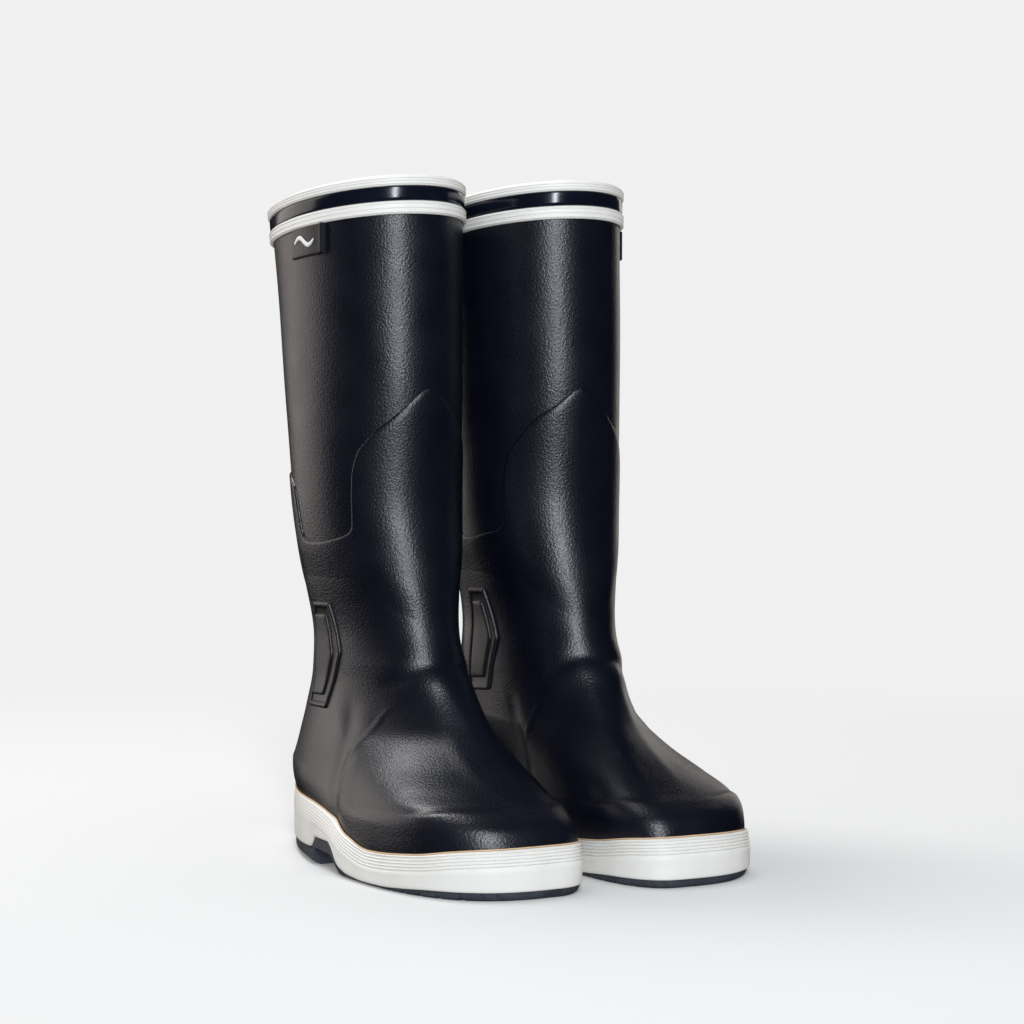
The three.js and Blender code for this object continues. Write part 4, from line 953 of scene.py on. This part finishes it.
KNIT = cloth("knitted lining", (0.30, 0.31, 0.33), (0.42, 0.43, 0.45), 900)
FOOTBED_CLOTH = cloth("footbed cloth", (0.018, 0.028, 0.060), (0.030, 0.045, 0.085), 700)
CORK_BOARD = cloth("fibre board", (0.36, 0.28, 0.18), (0.48, 0.38, 0.26), 300)
FOAM = smooth_rubber("sole foam", (0.030, 0.033, 0.040), (0.045, 0.048, 0.056), 0.85, 0.5, 0.2)
SPONGE = smooth_rubber("sponge rubber", (0.12, 0.12, 0.125), (0.17, 0.17, 0.175), 0.85, 0.5, 0.2)
print("cloths:", KNIT.name, FOOTBED_CLOTH.name, CORK_BOARD.name)


# %% Lining
STIFFENER_DEPTH, LINING_WALL = 4.2, 2.0
lining_depth = curve([(58, STIFFENER_DEPTH), (84, RUBBER_WALL + GAP)])
INSIDE = evenly(160)


def make_lining(side):
    levels = np.r_[np.arange(40, 150, 5.0), np.arange(150, RIM - 4, 12.0), RIM - 0.3]
    low = lambda u: floor_at(u) + RUBBER_WALL + GAP + 1
    outer = [(low, -STIFFENER_DEPTH)] + [(z, -float(lining_depth(z))) for z in levels]
    inner = [(z, -float(lining_depth(z)) - LINING_WALL) for z in levels[::-1]]
    inner.append((lambda u: floor_at(u) + RUBBER_WALL + GAP + 3, -STIFFENER_DEPTH - LINING_WALL))
    ahead = level_cut(SOLE_LEVEL, INSIDE, sole=True)[1]
    rows = []
    for level, proud in outer + inner:
        z = level(ahead) if callable(level) else level
        depth = proud + np.minimum(relief(z, INSIDE), 0)
        rows.append(bare_point(z, INSIDE) + skin_normal(z, INSIDE) * depth[:, None])
    floor = rows[-1] * (0.2, 0.5, 1)
    floor[:, 1] += 0.5 * rows[-1][:, 1].mean()
    rows.append(floor)
    under = floor - (0, 0, 1.5)
    rows.append(under)
    rows.append(rows[0] * (0.98, 0.98, 1) - (0, 0, 0.8))
    faces = grid_faces(len(rows), len(INSIDE), loop_rows=True, loop_columns=True)
    return piece("lining", side, np.array(rows), faces, KNIT, ("lining",), "knit_lining", smooth=70)


# %% Footbed
def make_footbed(side):
    t = np.linspace(-math.pi / 2, math.pi / 2, 90)[1:-1]
    start = floor_at(level_cut(SOLE_LEVEL, t, sole=True)[1])
    rows = []
    for inset, lift in ((10.2, 7.35), (10.0, 10.6), (10.3, 11.4), (11.2, 11.75)):
        for angle in (t, math.pi - t):
            z = start + 1
            point = bare_point(z, angle) - skin_normal(z, angle) * inset * 0.76
            point[:, 2] = floor_at(FOOT_LENGTH / 2 - point[:, 1]) + lift
            rows.append(point)
    outer_side, inner_side = rows[0::2], rows[1::2]
    across = [mix(outer_side[-1], inner_side[-1], s) for s in np.linspace(0, 1, 9)[1:-1]]
    loop = outer_side + across + inner_side[::-1]
    points = np.array(loop)
    count = len(t)
    faces = grid_faces(len(points), count, loop_rows=True)
    for end in (0, count - 1):
        faces.append([r * count + end for r in range(len(points))])
    return piece("footbed", side, points, faces, FOOTBED_CLOTH, ("footbed",), "footbed_foam", body="footbed")


for side in SIDES:
    lining = make_lining(side)
    footbed = make_footbed(side)
    print(lining.name, len(lining.data.polygons), "faces;", footbed.name, len(footbed.data.polygons), "faces")

# %% [markdown]
# ## Label
# A small tab of dark rubber sits under the bands on the outer side, with a thick front edge and a plain
# raised wave in white. It is a grid on the skin whose height follows the distance to its edges.

# %% Label tab and wave
LABEL_REAR, LABEL_WIDE, LABEL_HIGH = 64.5, 32.0, 18.5
LABEL_TOP = LOWER_LOW + 0.6


def make_label(side):
    u = np.r_[0, 0, 0.15, 0.5, 1, 2, np.linspace(4, LABEL_WIDE - 5, 9),
              LABEL_WIDE - np.array([3.4, 2.8, 2.2, 1.2, 0.5, 0.15, 0, 0])]
    v = np.r_[0, 0, 0.15, 0.5, 1, 2, 6, 10, 14, LABEL_HIGH - np.array([2, 1, 0.5, 0.15, 0, 0])]
    uu, vv = np.meshgrid(u, v, indexing="ij")
    inside = np.minimum(np.minimum(uu, LABEL_WIDE - uu), np.minimum(vv, LABEL_HIGH - vv))
    height = 1.2 + 0.5 * ease(inside, 0, 0.8) + 1.3 * ease(uu, LABEL_WIDE - 3.6, LABEL_WIDE - 2.4) \
        * ease(inside, 0, 0.6)
    border = np.zeros(uu.shape, bool)
    border[0], border[-1], border[:, 0], border[:, -1] = True, True, True, True
    height = np.where(border, -0.5, height)
    z = LABEL_TOP - LABEL_HIGH + vv
    top = on_skin(z, angle_at(z, LABEL_REAR + uu, True), height)
    back = on_skin(z, angle_at(z, LABEL_REAR + uu, True), -0.5 - 0 * height)
    size = uu.size
    faces = grid_faces(*uu.shape) + grid_faces(*uu.shape, first=size)
    points = np.concatenate([top.reshape(-1, 3), back.reshape(-1, 3)])
    return piece("label_tab", side, points, faces, PLATE, ("label_tab",), "dark_rubber", smooth=40)


def make_wave(side):
    t = np.linspace(0, 1, 61)
    taper = 0.35 + 0.65 * np.sin(math.pi * np.clip(t, 0.02, 0.98)) ** 0.6
    middle = LABEL_TOP - LABEL_HIGH / 2 + 2.6 * np.sin(2 * math.pi * t)
    ahead = LABEL_REAR + 5 + t * (LABEL_WIDE - 13)
    rows = []
    section = ((-1.5, 1.5), (-1.5, 2.1), (-1.2, 2.45), (0, 2.55), (1.2, 2.45), (1.5, 2.1), (1.5, 1.5))
    for across, height in section:
        z = middle + across * taper
        rows.append(on_skin(z, angle_at(z, ahead, True), height))
    count = len(t)
    faces = grid_faces(len(rows), count, loop_rows=True)
    for end in (0, count - 1):
        faces.append([r * count + end for r in range(len(rows))])
    return piece("label_mark", side, np.array(rows), faces, WHITE, ("label_mark",), "white_rubber", smooth=50)


for side in SIDES:
    print(make_label(side).name, make_wave(side).name)

# %% [markdown]
# ## Hidden layers
# The stiffeners, insole board, midsole, shank and heel block are inside the sole and never show in use.
# They keep their CAD shapes and get finishes of their own, so that the boot also looks right when it is
# taken apart.

# %% Finishes for the hidden layers
STEEL, steel_tree, steel_shader = new_material("spring steel", (0.52, 0.53, 0.55), 0.34)
steel_shader.inputs["Metallic"].default_value = 1.0
bumps(steel_tree, steel_shader, (noise(steel_tree, 500, 3, (1, 0.05, 1)), 0.3, 0.1))
HIDDEN = {"toe_stiffener": CORK_BOARD, "heel_stiffener": CORK_BOARD, "insole_board": CORK_BOARD,
          "midsole": FOAM, "shank": STEEL, "heel_block": SPONGE}
for side in SIDES:
    for node, finish in HIDDEN.items():
        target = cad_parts[f"{side}_{node}"]
        target.data.materials.clear()
        target.data.materials.append(finish)
print("hidden layers finished:", 2 * len(HIDDEN))

# %% [markdown]
# ## Floor and light
# A plain pale floor under plain studio light. A wide soft panel behind and to the left gives the grey
# sheen on the outer sides, and a weaker one behind and to the right lights the other edge. A tall narrow
# panel in front stands at the camera's bearing, for the bright line down each shin and the gloss on the
# toes. The one overhead stands a little behind the boots, so that the soft shadow falls ahead of the toes.
# The world is dark to reflections, so the fronts stay deep navy, and a soft grey to diffuse rays, so
# nothing goes black. The floor is hidden from both, because dark rubber would mirror it as a grey veil.

# %% Floor
PALE = 0.875                           # the backdrop, as bright as the far floor
FLOOR_GLOW, FLOOR_WHITE = 0.12, 0.62   # near the boots: its own light, and how much of the lamps it returns


def studio_floor():
    bpy.ops.mesh.primitive_circle_add(vertices=96, radius=30, fill_type="NGON")
    floor = bpy.context.object
    floor.name = "studio_floor"
    material = bpy.data.materials.new("studio floor")
    material.use_nodes = True
    tree = material.node_tree
    tree.nodes.clear()
    out = tree.nodes.new("ShaderNodeOutputMaterial")
    glow, far = tree.nodes.new("ShaderNodeEmission"), tree.nodes.new("ShaderNodeEmission")
    matt, both, fade = (tree.nodes.new(n) for n in ("ShaderNodeBsdfDiffuse", "ShaderNodeAddShader",
                                                    "ShaderNodeMixShader"))
    glow.inputs["Color"].default_value = (1, 1, 1, 1)
    glow.inputs["Strength"].default_value = FLOOR_GLOW
    far.inputs["Strength"].default_value = PALE
    matt.inputs["Color"].default_value = (FLOOR_WHITE, FLOOR_WHITE, FLOOR_WHITE, 1)
    where = tree.nodes.new("ShaderNodeTexCoord")
    distance = tree.nodes.new("ShaderNodeVectorMath")
    distance.operation = "LENGTH"
    tree.links.new(where.outputs["Object"], distance.inputs[0])
    edge = remap(tree, distance.outputs["Value"], 0.35, 1.1, 0, 1)
    tree.links.new(glow.outputs[0], both.inputs[0])
    tree.links.new(matt.outputs[0], both.inputs[1])
    tree.links.new(edge, fade.inputs["Fac"])
    tree.links.new(both.outputs[0], fade.inputs[1])
    tree.links.new(far.outputs[0], fade.inputs[2])
    tree.links.new(fade.outputs[0], out.inputs["Surface"])
    floor.data.materials.append(material)
    floor.visible_glossy = floor.visible_diffuse = False
    floor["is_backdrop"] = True
    return floor


floor = studio_floor()
print("floor:", floor.name)


# %% Light
def panel(name, at, aim, size, power, color=(1, 1, 1)):
    data = bpy.data.lights.new(name, "AREA")
    data.shape = "RECTANGLE"
    data.size, data.size_y = size
    data.energy, data.color = power, color
    light = bpy.data.objects.new(name, data)
    scene.collection.objects.link(light)
    light.location = at
    light.rotation_euler = (Vector(aim) - Vector(at)).to_track_quat("-Z", "Y").to_euler()
    light.visible_camera = False
    return light


panel("left rear panel", (-1.25, 1.95, 0.75), (0, 0, 0.2), (2.0, 2.0), 19, (1.0, 0.92, 0.86))
panel("right rear panel", (2.1, 1.5, 0.7), (0, 0, 0.2), (0.6, 1.8), 5, (1.0, 0.94, 0.88))
panel("front strip", (-1.10, -2.15, 1.15), (0, 0, 0.28), (0.24, 2.0), 50, (0.88, 0.94, 1.0))
panel("overhead", (-0.2, 0.9, 1.9), (0, 0, 0), (0.9, 0.9), 22)

world = bpy.data.worlds.new("studio")
scene.world = world
world.use_nodes = True
sky = world.node_tree
sky.nodes.clear()
seen, fill, dim = (sky.nodes.new("ShaderNodeBackground") for _ in range(3))
seen.inputs["Color"].default_value = (PALE, PALE, PALE, 1)
fill.inputs["Color"].default_value = (0.52, 0.52, 0.52, 1)
dim.inputs["Color"].default_value = (0.010, 0.011, 0.014, 1)
path, soft, choose, out = (sky.nodes.new(n) for n in ("ShaderNodeLightPath", "ShaderNodeMixShader",
                                                      "ShaderNodeMixShader", "ShaderNodeOutputWorld"))
sky.links.new(path.outputs["Is Diffuse Ray"], soft.inputs["Fac"])
sky.links.new(dim.outputs[0], soft.inputs[1])
sky.links.new(fill.outputs[0], soft.inputs[2])
sky.links.new(path.outputs["Is Camera Ray"], choose.inputs["Fac"])
sky.links.new(soft.outputs[0], choose.inputs[1])
sky.links.new(seen.outputs[0], choose.inputs[2])
sky.links.new(choose.outputs[0], out.inputs["Surface"])
scene.view_settings.view_transform = "Standard"
scene.view_settings.look = "None"

# %% [markdown]
# The finished boots should fill the same box as the CAD model. Both boxes are printed.

# %% Measure and finish
boxes = {"cad": [list(v) for v in cad_box], "visual": [list(v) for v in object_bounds()]}
for name, (low, high) in boxes.items():
    print(name, [round((b - a) * 1000, 1) for a, b in zip(low, high)], "mm")
